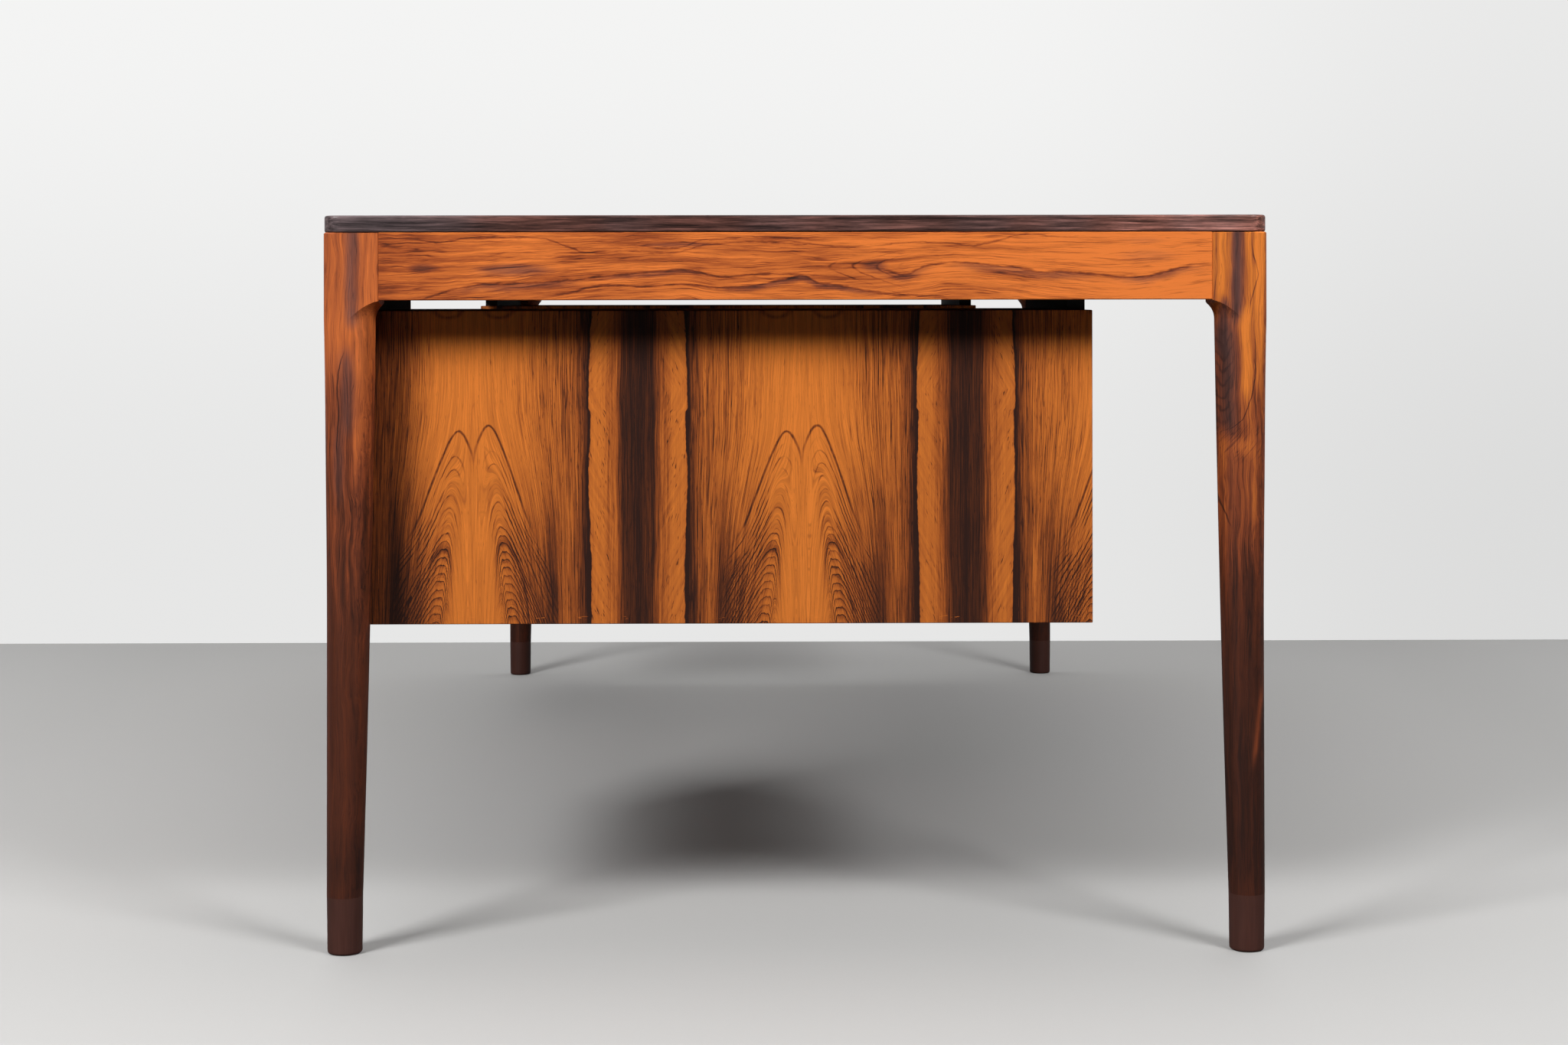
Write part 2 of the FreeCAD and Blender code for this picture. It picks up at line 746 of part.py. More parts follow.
def brackets():
    """Steel angles that tie the rails to the desktop, and their screws."""
    angles, screws = [], []
    reach = at.bracket_thick + (at.bracket_leaf - at.bracket_thick) / 2
    hole = at.screw_radius + at.thread_gap
    under = frame_top - at.bracket_thick
    for axis, hand, x, y in bracket_places():
        angle = Piece("bracket")
        if axis == "x":
            leaf = mirrored(hand, (rail_inner_end - at.bracket_leaf, rail_inner_end))
            wall = mirrored(hand, (rail_inner_end - at.bracket_thick, rail_inner_end))
            width = spread(y, at.bracket_width)
            angle.box(leaf, width, (under, frame_top))
            angle.box(wall, width, (frame_top - at.bracket_leaf, frame_top))
        else:
            leaf = mirrored(hand, (rail_inner_side - at.bracket_leaf, rail_inner_side))
            wall = mirrored(hand, (rail_inner_side - at.bracket_thick, rail_inner_side))
            width = spread(x, at.bracket_width)
            angle.box(width, leaf, (under, frame_top))
            angle.box(width, wall, (frame_top - at.bracket_leaf, frame_top))
        inward = -hand
        step_x = at.bracket_thick * (inward if axis == "x" else 0)
        step_y = at.bracket_thick * (inward if axis == "y" else 0)
        run_x = reach * (inward if axis == "x" else 0)
        run_y = reach * (inward if axis == "y" else 0)
        outward = AXES[axis] * hand
        wall_seat = (x + step_x, y + step_y, frame_top - reach)
        roof_seat = (x + run_x, y + run_y, under)
        for seat, direction in ((wall_seat, outward), (roof_seat, AXES["z"])):
            angle.hole(seat, direction, hole, at.bracket_thick)
            back = direction * -1
            screw = Piece("screw").rod(seat, back, at.screw_head_radius, at.screw_head_height)
            screw.rod(seat, direction, at.screw_radius,
                      at.bracket_thick + at.screw_length - at.mortise_spare)
            screws.append(screw)
        angles.append(angle)
    group("desktop_brackets", angles)
    group("bracket_screws", screws)


# Spacers and pedestals

def spacers():
    battens, bolts = [], []
    z = (pedestal_top, frame_bottom)
    for hand in (1, -1):
        x = mirrored(hand, (pedestal_inner + at.spacer_inset, pedestal_outer - at.spacer_inset))
        for y in (front_spacer, rear_spacer):
            batten = Piece("spacer").box(x, y, z)
            hang_holes(batten, pedestal_top, at.spacer_height, x, y)
            battens.append(batten)
    group("pedestal_spacers", battens)
    seat = pedestal_top - at.board_thick + at.hang_head_height + at.runner_gap
    for x, y in hang_bolt_places():
        bolt = Piece("hanging_bolt").rod((x, y, seat), -AXES["z"], at.hang_head_radius,
                                         at.hang_head_height)
        bolt.rod((x, y, seat), AXES["z"], at.hang_bolt_radius,
                 frame_bottom + at.hang_bolt_bite - seat)
        bolts.append(bolt)
    group("hanging_bolts", bolts)


def pedestal(hand, word):
    """The case of one pedestal: two sides, a top, a bottom and a back."""
    y = (pedestal_front, pedestal_rear)
    outer_x = mirrored(hand, (pedestal_outer - at.board_thick, pedestal_outer))
    inner_x = mirrored(hand, (pedestal_inner, pedestal_inner + at.board_thick))
    between = mirrored(hand, (pedestal_inner + at.board_thick, pedestal_outer - at.board_thick))
    full = (pedestal_bottom, pedestal_top)
    for label, x in ((f"{word}_pedestal_outer_side", outer_x),
                     (f"{word}_pedestal_inner_side", inner_x)):
        Piece(label).box(x, y, full).ease(lambda edge: True, at.board_arris).node()
    lid = (pedestal_top - at.board_thick, pedestal_top)
    board = Piece(f"{word}_pedestal_top").box(between, y, lid)
    hang_holes(board, lid[0], at.board_thick, between, y)
    for place_x, place_y in hang_bolt_places():
        if between[0].value < place_x.value < between[1].value:
            board.hole((place_x, place_y, lid[0]), AXES["z"],
                       at.hang_head_radius + at.runner_gap,
                       at.hang_head_height + at.runner_gap)
    board.node()
    Piece(f"{word}_pedestal_bottom").box(
        between, y, (pedestal_bottom, pedestal_bottom + at.board_thick)).node()
    Piece(f"{word}_pedestal_back").box(
        between, (pedestal_rear - at.back_thick, pedestal_rear),
        (pedestal_bottom + at.board_thick, lid[0])).node()


# Drawers

front_face = pedestal_front + at.front_setback
front_back = front_face + at.front_thick
drawer_rear = pedestal_rear - at.back_thick - at.drawer_rear_gap
case_floor = pedestal_bottom + at.board_thick
case_roof = pedestal_top - at.board_thick
front_height = (case_roof - case_floor - at.drawer_gap * (DRAWERS + 1)) / DRAWERS
side_height = front_height - at.side_lift - at.side_drop
drawer_width = at.pedestal_width - at.board_thick * 2 - at.drawer_end_gap * 2
inner_width = drawer_width - at.side_thick * 2
runner_reach = at.drawer_end_gap + at.runner_groove - at.runner_end_gap


def drawer_floor(level):
    """The height of a drawer front's lower edge."""
    return case_floor + at.drawer_gap + (front_height + at.drawer_gap) * level


def tail_spans(level):
    """For each dovetail, its wide end's and its narrow end's span of height."""
    low = drawer_floor(level) + at.side_lift
    pitch = side_height / TAILS
    spans = []
    for tail in range(TAILS):
        middle = low + pitch * (tail + 0.5)
        wide = spread(middle, pitch * TAIL_SHARE)
        spans.append((wide, (wide[0] + at.tail_slope, wide[1] - at.tail_slope)))
    return spans


def tails(piece, x, level, kind):
    """Add the dovetails to a drawer side, or cut their sockets in a front."""
    for wide, narrow in tail_spans(level):
        piece.feature(kind, (zero, zero, zero),
                      Xmin=x[0], Xmax=x[1], X2min=x[0], X2max=x[1],
                      Ymin=front_back - at.tail_lap, Ymax=front_back,
                      Zmin=wide[0], Zmax=wide[1], Z2min=narrow[0], Z2max=narrow[1])


def runner_span(level):
    """The height that a runner takes on the pedestal's side."""
    low = drawer_floor(level) + at.side_lift
    return spread(low + side_height * RUNNER_SHARE, at.runner_height)


def drawer(hand, word, level, level_word):
    """One drawer: a front with its lip pull, two dovetailed sides, a rear and a bottom."""
    name = f"{word}_{level_word}_drawer"
    middle = handed(hand, pedestal_middle)
    outer = spread(middle, drawer_width)
    inner = spread(middle, inner_width)
    sides_x = ((outer[0], inner[0]), (inner[1], outer[1]))
    low = drawer_floor(level)
    front_z = (low, low + front_height)
    side_z = (low + at.side_lift, low + at.side_lift + side_height)
    bottom_z = (side_z[0] + at.bottom_lift, side_z[0] + at.bottom_lift + at.bottom_thick)
    side_y = (front_back, drawer_rear)

    front = Piece(name + "_front").box(outer, (front_face, front_back), front_z)
    for x in sides_x:
        tails(front, x, level, "SubtractiveWedge")
    front.cut(inner, (front_back - at.groove_depth, front_back), bottom_z)
    front.node()

    lip_z = (front_z[1] - at.lip_height, front_z[1])
    lip_y = (pedestal_front + at.lip_gap, front_face)
    lip = Piece(name + "_pull").box(outer, lip_y, lip_z)
    lip.hole((outer[0], front_face, lip_z[0]), AXES["x"], at.lip_scoop, drawer_width)
    lip.ease(any_of(edge_on(y=lip_y[0], z=lip_z[0]), edge_on(y=lip_y[0], z=lip_z[1])),
             at.lip_arris)
    lip.node()

    frame = []
    runner_z = runner_span(level)
    slot_z = (runner_z[0] - at.runner_gap, runner_z[1] + at.runner_gap)
    for x, wall in zip(sides_x, (1, -1)):
        panel = Piece(name + "_side").box(x, side_y, side_z)
        tails(panel, x, level, "AdditiveWedge")
        if wall > 0:
            panel.cut((x[0], x[0] + at.runner_groove), side_y, slot_z)
            panel.cut((x[1] - at.groove_depth, x[1]), side_y, bottom_z)
        else:
            panel.cut((x[1] - at.runner_groove, x[1]), side_y, slot_z)
            panel.cut((x[0], x[0] + at.groove_depth), side_y, bottom_z)
        frame.append(panel)
    frame.append(Piece(name + "_rear").box(inner, (drawer_rear - at.rear_thick, drawer_rear),
                                           (bottom_z[1], side_z[1] - at.rear_drop)))
    group(name + "_sides", frame)

    floor_x = spread(middle, inner_width + at.groove_depth * 2)
    floor = Piece(name + "_bottom").box(floor_x, side_y, bottom_z)
    floor.box(inner, (front_back - at.groove_depth, front_back), bottom_z)
    floor.node()


def runners():
    bars = []
    y = (front_back + at.runner_gap, drawer_rear - at.runner_rear_gap)
    for hand in (1, -1):
        walls = mirrored(hand, (pedestal_inner + at.board_thick,
                                pedestal_outer - at.board_thick))
        for level in range(DRAWERS):
            for x in ((walls[0], walls[0] + runner_reach), (walls[1] - runner_reach, walls[1])):
                bars.append(Piece("runner").box(x, y, runner_span(level)))
    group("drawer_runners", bars)


def build():
    desktop()
    legs()
    feet()
    end_rail("right_end_rail", 1)
    end_rail("left_end_rail", -1)
    long_rail("front_rail", -1)
    long_rail("back_rail", 1)
    bearers()
    corner_braces()
    brackets()
    spacers()
    for hand, word in ((1, "right"), (-1, "left")):
        pedestal(hand, word)
        for level, level_word in enumerate(("bottom", "middle", "top")):
            drawer(hand, word, level, level_word)
    runners()
    doc.recompute()


def check():
    """Stop if any object of the document failed, or if a node's shape is not sound."""
    failed = [item.Label for item in doc.Objects
              if "Invalid" in item.State or "Error" in item.State]
    if failed:
        raise RuntimeError(f"failed objects: {failed}")
    for node in nodes:
        if node.Shape.isNull() or not node.Shape.isValid():
            raise RuntimeError(f"unsound shape: {node.Label}")
        if not node.Shape.Solids:
            raise RuntimeError(f"no solid in {node.Label}")
    labels = [node.Label for node in nodes]
    if len(set(labels)) != len(labels):
        raise RuntimeError("two nodes share a label")


def export():
    os.makedirs("parts", exist_ok=True)
    for node in nodes:
        node.Shape.exportStep(f"parts/{node.Label}.step")
        print(node.Label, len(node.Shape.Solids), "solids",
              round(node.Shape.Volume / 1000, 1), "cm3")


build()
check()
export()
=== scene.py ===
"""Finishes, light and camera for a rosewood writing desk with two hung pedestals.

All the desk's forms come from the CAD frame. This script gives each of them its wood or metal,
and sets the floor, the wall, the lamps and the camera. Lengths inside the finishes are in
millimetres, and heights are above the floor.
"""

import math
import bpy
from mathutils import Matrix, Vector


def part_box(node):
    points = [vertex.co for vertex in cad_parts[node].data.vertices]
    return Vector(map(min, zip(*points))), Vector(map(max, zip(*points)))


bl_info = {
    "name": "Rosewood writing desk",
    "version": (1, 0, 0),
    "blender": (4, 5, 0),
    "location": "View3D > Sidebar > Desk",
    "description": "Woods, metal, floor, lamps and camera for a writing desk",
    "category": "Object",
}

import bmesh
import bpy
from mathutils import Euler, Matrix, Vector

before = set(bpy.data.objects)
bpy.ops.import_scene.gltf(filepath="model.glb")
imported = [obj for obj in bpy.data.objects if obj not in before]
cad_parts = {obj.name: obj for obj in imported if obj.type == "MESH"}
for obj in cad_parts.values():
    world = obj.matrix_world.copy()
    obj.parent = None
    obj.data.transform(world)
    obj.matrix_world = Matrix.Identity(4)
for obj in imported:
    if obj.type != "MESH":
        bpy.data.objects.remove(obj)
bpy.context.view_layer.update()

MM = 1000

LEVELS = ("top", "middle", "bottom")
HANDS = ("right", "left")
ENDS = ("front", "back")


def corners(name):
    """The lowest and the highest corner of a CAD node, in millimetres."""
    low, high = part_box(name)
    return low * MM, high * MM


def middle_of(name):
    low, high = corners(name)
    return (low + high) / 2


HALF_LENGTH, HALF_DEPTH, DESK_HEIGHT = corners("desktop_lippings")[1]
SIDE_LOW, SIDE_HIGH = corners("right_pedestal_outer_side")
RAIL_LOW, RAIL_HIGH = corners("right_end_rail")


class Value:
    """A number, colour or vector on its way through a finish."""

    def __init__(self, finish, socket):
        self.finish = finish
        self.socket = socket

    def maths(self, operation, *others):
        return self.finish.maths(operation, self, *others)

    def __add__(self, other):
        return self.maths("ADD", other)

    __radd__ = __add__

    def __sub__(self, other):
        return self.maths("SUBTRACT", other)

    def __rsub__(self, other):
        return self.finish.maths("SUBTRACT", other, self)

    def __mul__(self, other):
        return self.maths("MULTIPLY", other)

    __rmul__ = __mul__

    def __truediv__(self, other):
        return self.maths("DIVIDE", other)

    def __rtruediv__(self, other):
        return self.finish.maths("DIVIDE", other, self)

    def __abs__(self):
        return self.maths("ABSOLUTE")

    def __pow__(self, power):
        return self.maths("POWER", power)

    def floor(self):
        return self.maths("FLOOR")

    def sqrt(self):
        return self.maths("SQRT")

    def cos(self):
        return self.maths("COSINE")

    def least(self, other):
        return self.maths("MINIMUM", other)

    def most(self, other):
        return self.maths("MAXIMUM", other)

    def fold(self, width):
        """Runs up to width and back again, as book-matched leaves do."""
        return self.maths("PINGPONG", width)

    def cycle(self, width):
        """Runs from 0 to 1 over each width, again and again."""
        turns = self / width
        return turns - turns.floor()

    def crests(self, pitch):
        """1 halfway along each pitch, down to 0 at its ends."""
        return (self / pitch).fold(0.5) * 2

    def clamp(self):
        return self.most(0).least(1)

    def rise(self, low, high):
        """0 below low, 1 above high, and a smooth step between them."""
        return self.finish.node("MapRange", {"interpolation_type": "SMOOTHSTEP"},
                                {"Value": self, "From Min": low, "From Max": high,
                                 "To Min": 0, "To Max": 1})

    def fall(self, low, high):
        """The same the other way round, from 1 down to 0."""
        return 1 - self.rise(low, high)

    def within(self, low, high, soft):
        """1 between low and high, with both ends softened."""
        return self.rise(low - soft, low + soft) * self.fall(high - soft, high + soft)

    def near(self, place, reach):
        """1 at a place, down to 0 at reach on both sides of it."""
        return abs(self - place).fall(0, reach)

    def blend(self, start, end):
        """From start to end, numbers or Values, as this value goes from 0 to 1."""
        return start + (end - start) * self


class Nodes:
    """A shader's node tree, built from sums of Values."""

    def __init__(self, tree):
        self.tree = tree
        tree.nodes.clear()

    def node(self, kind, settings=None, feeds=None, out=0):
        """Any shader node: its settings first, then the values or links of its sockets."""
        made = self.tree.nodes.new("ShaderNode" + kind)
        for key, value in (settings or {}).items():
            if key == "stops":
                self.place_stops(made.color_ramp, value)
            elif key == "ramp_run":
                made.color_ramp.interpolation = value
            else:
                setattr(made, key, value)
        for key, value in (feeds or {}).items():
            if isinstance(value, Value):
                self.tree.links.new(value.socket, made.inputs[key])
            else:
                made.inputs[key].default_value = value
        return Value(self, made.outputs[out])

    @staticmethod
    def place_stops(ramp, stops):
        """Gives a ramp its stops, each a place from 0 to 1 and a colour or a level."""
        while len(ramp.elements) < len(stops):
            ramp.elements.new(0.5)
        for element, (place, _) in zip(ramp.elements, stops):
            element.position = place
        for element, (_, shade) in zip(ramp.elements, stops):
            grey = isinstance(shade, (int, float))
            element.color = (shade, shade, shade, 1) if grey else (*shade[:3], 1)

    def maths(self, operation, *terms):
        return self.node("Math", {"operation": operation}, dict(enumerate(terms)))

    def parts(self, vector):
        split = self.node("SeparateXYZ", None, {0: vector}).socket.node
        return tuple(Value(self, split.outputs[k]) for k in range(3))

    def grain(self, across, along, deep=0, detail=2, rough=0.5):
        """Smooth noise from 0 to 1. Its places are counted in its own waves."""
        place = self.node("CombineXYZ", None, {0: across, 1: along, 2: deep})
        return self.node("TexNoise", {"noise_dimensions": "3D"},
                         {"Vector": place, "Scale": 1, "Detail": detail, "Roughness": rough,
                          "Distortion": 0})

    def drift(self, *place, **noise):
        """Smooth noise to both sides of 0."""
        return self.grain(*place, **noise) - 0.5

    def veins(self, across, along, deep=0, width=0.03, **noise):
        """1 on the thin winding lines where smooth noise crosses its middle, 0 off them."""
        return abs(self.drift(across, along, deep, **noise)).fall(0, width)

    def ramp(self, value, stops, run="LINEAR"):
        return self.node("ValToRGB", {"stops": stops, "ramp_run": run}, {0: value})

    def mix(self, factor, start, end):
        """From one colour to another."""
        def shade(colour):
            return colour if isinstance(colour, Value) else (*colour[:3], 1)
        return self.node("Mix", {"data_type": "RGBA"},
                         {0: factor, 6: shade(start), 7: shade(end)}, out=2)

    def scaled(self, vector, share):
        """A colour or a vector times a number or a Value."""
        return self.node("VectorMath", {"operation": "SCALE"}, {0: vector, "Scale": share})

    def course(self, along, points, low, high):
        """A smooth line through points (along, level): its level at each place along."""
        start, end = points[0][0], points[-1][0]
        stops = [((a - start) / (end - start), (level - low) / (high - low)) for a, level in points]
        height = self.ramp((along - start) / (end - start), stops, run="CARDINAL")
        return height * (high - low) + low

    def end_with(self, shader, kind="OutputMaterial"):
        end = self.tree.nodes.new("ShaderNode" + kind)
        self.tree.links.new(shader.socket, end.inputs["Surface"])


class Finish(Nodes):
    """One material. Its x, y and z run over the desk in millimetres."""

    def __init__(self, name):
        self.material = bpy.data.materials.new(name)
        self.material.use_nodes = True
        super().__init__(self.material.node_tree)
        place = self.node("TexCoord", out="Object")
        facing = Value(self, place.socket.node.outputs["Normal"])
        self.x, self.y, self.z = self.parts(self.scaled(place, MM))
        self.nx, self.ny, self.nz = self.parts(facing)

    def along(self, axis):
        """The running place and the facing along an axis, given by its letter."""
        return {"x": (self.x, self.nx), "y": (self.y, self.ny), "z": (self.z, self.nz)}[axis]

    def surface(self, colour, rough, height, depth, **fixed):
        """The shader itself. What is fixed all over is set on its own socket."""
        bump = self.node("Bump", None, {"Strength": 1, "Distance": depth, "Height": height})
        feeds = {"Base Color": colour, "Roughness": rough, "Normal": bump}
        feeds.update({key.replace("_", " "): value for key, value in fixed.items()})
        self.end_with(self.node("BsdfPrincipled", None, feeds))
        return self.material


def swatch(name, description, default):
    """A colour that the sidebar shows."""
    return bpy.props.FloatVectorProperty(name=name, description=description, size=3,
                                         subtype="COLOR", min=0, max=1, default=default)


def length(name, description, default, low, high):
    """A length that the sidebar shows, in metres."""
    return bpy.props.FloatProperty(name=name, description=description, unit="LENGTH",
                                   default=default, min=low, max=high)


def amount(name, description, default, low, high, unit="NONE"):
    """A plain number or an angle that the sidebar shows."""
    return bpy.props.FloatProperty(name=name, description=description, unit=unit,
                                   default=default, min=low, max=high, precision=4)


class DeskColours(bpy.types.PropertyGroup):
    """Colours of the woods and the metal."""

    bright: swatch("Bright wood", "Rosewood at its palest", (0.655, 0.185, 0.029))
    brown: swatch("Brown wood", "Rosewood of the middle tone", (0.3, 0.071, 0.0165))
    dark: swatch("Dark wood", "Rosewood at its darkest", (0.028, 0.011, 0.008))
    red: swatch("Rail wood", "The rails' wood at its palest", (0.7, 0.18, 0.035))
    auburn: swatch("Rail brown", "The rails' wood, middle tone", (0.3, 0.06, 0.018))
    ruddy: swatch("Leg wood", "The front legs' wood at its palest", (0.6, 0.15, 0.036))
    chestnut: swatch("Leg brown", "The legs' wood, middle tone", (0.285, 0.066, 0.024))
    smoke: swatch("Smoky marks", "The purple-grey that clouds rails and legs", (0.12, 0.055, 0.048))
    edge: swatch("Edge wood", "The near-black wood round the desktop", (0.085, 0.034, 0.026))
    # grey of wear, also used for a painted reflection along the front of the edge
    edge_wear_and_sheen: swatch("Worn edge", "The edge's wood, gone grey", (0.2, 0.142, 0.146))
    foot: swatch("Foot wood", "The plain dark wood of the feet", (0.068, 0.024, 0.017))
    lining: swatch("Drawer lining", "The wood inside the drawers", (0.42, 0.19, 0.085))
    beech: swatch("Frame wood", "The pale wood under the desktop", (0.5, 0.31, 0.17))
    black: swatch("Spacer black", "The stain on the spacers", (0.01, 0.01, 0.011))
    zinc: swatch("Zinc", "The plating of the bolts and brackets", (0.52, 0.53, 0.54))


class DeskFigure(bpy.types.PropertyGroup):
    """Where the figure of the veneers lies."""

    leaf_width: length("Leaf width", "Width of a leaf of the pedestals' sides", 0.1665, 0.05, 0.5)
    flame_axis: length("Flame axis", "Where a flame's two leaves meet", 0.0068, -0.5, 0.5)
    crest_height: length("Crest height", "Height of a flame's first arch", 0.5205, 0.3, 0.7)
    top_leaf: length("Desktop leaf", "Width of a leaf of the desktop", 0.2265, 0.05, 0.5)
    board_leaf: length("Board leaf", "Width of a leaf of the plain boards", 0.14, 0.05, 0.5)


class DeskStage(bpy.types.PropertyGroup):
    """Floor, wall, lamps and camera."""

    floor_colour: swatch("Floor", "Colour of the floor", (0.5, 0.497, 0.49))
    wall_colour: swatch("Background", "Colour of the wall and past it", (0.83, 0.83, 0.825))
    wall_distance: length("Wall distance", "From the middle of the desk", 1.33, 1, 10)
    sheet_size: length("Stage size", "Side of the floor and the wall", 28, 10, 100)
    fill: amount("Fill light", "Light from the camera's side", 0.03, 0, 2)
    glow: amount("Room light", "Light from the other sides", 0.45, 0, 2)
    lamps: amount("Lamps", "Strength of the lamps together", 1, 0, 4)
    lens: amount("Lens", "Focal length for a 36 mm wide frame", 58, 10, 200)
    shift: amount("Shift", "How far the frame is shifted up, in widths", -0.1441, -1, 1)
    turn: amount("Turn", "How far the camera is turned right", 0.0101, -3.2, 3.2, "ROTATION")
    roll: amount("Roll", "How far the camera leans", 0.0014, -3.2, 3.2, "ROTATION")
    eye: bpy.props.FloatVectorProperty(
        name="Camera place", description="Where the camera stands", size=3,
        subtype="TRANSLATION", unit="LENGTH", default=(3.4572, -0.0373, 0.6539))


def paint(name):
    """One of the sidebar's colours."""
    return Vector(getattr(bpy.context.scene.desk_colours, name))


PORE_WIDTH, PORE_LENGTH, PORE_DEPTH = 0.55, 9, 0.8


def rosewood(f, tone, fine, run, woods=("bright", "brown"), smoke=None, pores=0.05, base=0.33):
    """Rosewood under satin lacquer. Its tone goes from 0, the brightest, to 1, the darkest.
    Short dark pores lie along the grain, whose run is the places across it, along it and into
    the wood. Smoke greys it towards purple. The lacquer's roughness is base."""
    across, along, deep = run
    pore = f.grain(across / PORE_WIDTH, along / PORE_LENGTH, deep / PORE_DEPTH,
                   detail=1).rise(0.62, 0.8)
    tone = (tone + pore * pores).clamp()
    bright, brown, dark = map(paint, (*woods, "dark"))
    colour = f.ramp(tone, [
        (0, bright * 1.12), (0.14, bright * 0.88), (0.34, bright.lerp(brown, 0.62)),
        (0.54, brown * 0.82), (0.74, brown.lerp(dark, 0.68)), (0.9, dark.lerp(brown, 0.12)),
        (1, dark)])
    if smoke is not None:
        colour = f.mix(smoke.clamp(), colour, f.scaled(paint("smoke"), 1.5 - tone))
    height = fine - pore * 0.4
    return f.surface(colour, base + height * 0.1, height, 0.00004, Specular_IOR_Level=0.3)


def faces(facing):
    """1 on the faces that look along an axis, both ways, with a soft change on an arris."""
    return abs(facing).rise(0.55, 0.8)


class Leaf:
    """Where a point lies on a pedestal's side, whose veneer is leaves in mirrored pairs."""

    crest_step = 3  # half the difference in height between the crests of a pair

    def __init__(self, f, seed):
        s = bpy.context.scene.desk_figure
        self.width, axis, crest = s.leaf_width * MM, s.flame_axis * MM, s.crest_height * MM
        number = ((f.y - axis) / self.width).floor()
        self.hand = (number * math.pi).cos()  # 1 and -1 by turns
        self.own = number * 0.31 + seed  # keeps its noise apart from the next leaf's
        self.out = (f.y - axis).fold(self.width)  # from the line where the pair meets
        self.slow = f.drift(self.out / 55, f.z / 90, self.own) * 14
        self.below = crest + self.hand * self.crest_step - f.z


def flame(f, leaf):
    """The arches of a flame: a long pointed one over thin ones, and crowded ones with flat
    crowns at its foot. Returns their tone, and the unevenness that jags them."""
    out, z, own, below = leaf.out, f.z, leaf.own, leaf.below
    thin_pitch, low_pitch, haze_pitch = 13, 8.2, 18

    # each arch bends round a crown and runs down steeply on both sides of it
    off = out - (15.5 + below * 0.12)  # from the middle of the arches, outwards
    outer = off.rise(-0.5, 0.5)
    foot = below.rise(80, 150)
    flank = (abs(off) - foot * 2.5).most(0)
    bend = outer.blend(9 - foot * 5, 12 - foot * 7)
    steep = outer.blend(2.2 + below.rise(15, 70) * 1.4 + foot * 2.6, 5 + leaf.hand * 0.5 - foot * 2)
    reach = (flank * flank + bend * bend).sqrt()
    under = below - (reach - bend) * steep  # how far under the first arch, measured at a crown
    slope = (1 + (flank * steep / reach) ** 2).sqrt()
    wobble = f.drift(out / 7, z / 16, own) * 3
    jag = (f.drift(out / 9, z / 9, own) * 4 + f.drift(out / 2.6, z / 3, own) * 2.6 * (0.4 + foot))

    first = (abs((under + leaf.slow * 0.22 + wobble) / slope).fall(0.3, 1.8)
             * below.fall(62, 128) * (off.rise(-20, -6) * 0.6 + 0.4)
             * (0.45 + f.grain(out / 5, z / 7, own) * 0.9))

    under = under + jag
    thin = abs((under - 6).cycle(thin_pitch) - 0.5) * thin_pitch / slope.least(3)
    thin = (thin.fall(0.1, 1.1) * under.rise(8, 20) * under.fall(96, 122)
            * f.grain(under / 26, off / 12, own + 14, detail=3).rise(0.36, 0.6))

    ring = (under - 4).cycle(low_pitch)
    thick = (slope.least(4) - 1) * 0.07
    weight = f.grain(under / 17, off * 0.22 / 8, own + 4).rise(0.32, 0.6)
    crowded = (((ring - thick).fall(0.06, 0.24) * 0.7 + ring.fall(0.1, 0.8) * 0.36)
               * under.rise(88, 126) * (0.5 + weight * 0.5))

    stray = (f.veins(under / 8, out / 90, own + 12, detail=1)
             * f.grain(out / 9, z / 14, own + 13, detail=1).rise(0.4, 0.58)
             * under.rise(34, 62))
    haze = (under - 33).crests(haze_pitch).rise(0.35, 1) * under.rise(20, 50) * under.fall(100, 130)

    crown = abs(off + 1).fall(8, 22)
    arm = off.rise(2, 12)
    inside = off.rise(-15, -6) * off.fall(34, 50)
    tone = ((crowded * (0.5 + crown * 0.14) + stray * (0.18 + arm * 0.3)
             + thin * (0.44 + arm * 0.2) + haze * (0.04 + crown * 0.02)) * inside
            + under.near(119, 8) * crown * 0.3)
    return first * 0.62 + tone, jag


def leaf_fibres(f, leaf):
    """The fine grain of a leaf: upright at the pair's line, fanned outside the arches and
    upright again at the seam. Returns fine and wide stripes, threads, lines and dashes."""
    out, z, own, below = leaf.out, f.z, leaf.own, leaf.below
    sunk = (below + (below * below + 1200).sqrt()) * 0.5  # below the crest, 0 above it
    fan = out.fall(30, 112) * out.rise(4, 30)
    side = out - sunk * 0.33 * fan + leaf.slow * 0.35
    return (f.drift(side / 0.8, z / 60, own, detail=4, rough=0.75),
            f.drift(side / 5, z / 300, own + 2, detail=3, rough=0.6),
            f.veins(side / 1.7, z / 150, own + 5, 0.05, detail=1),
            f.veins(side / 4.5, z / 300, own + 6, 0.018, detail=1),
            f.grain(side / 0.9, z / 11, own + 9, detail=1).rise(0.63, 0.76))


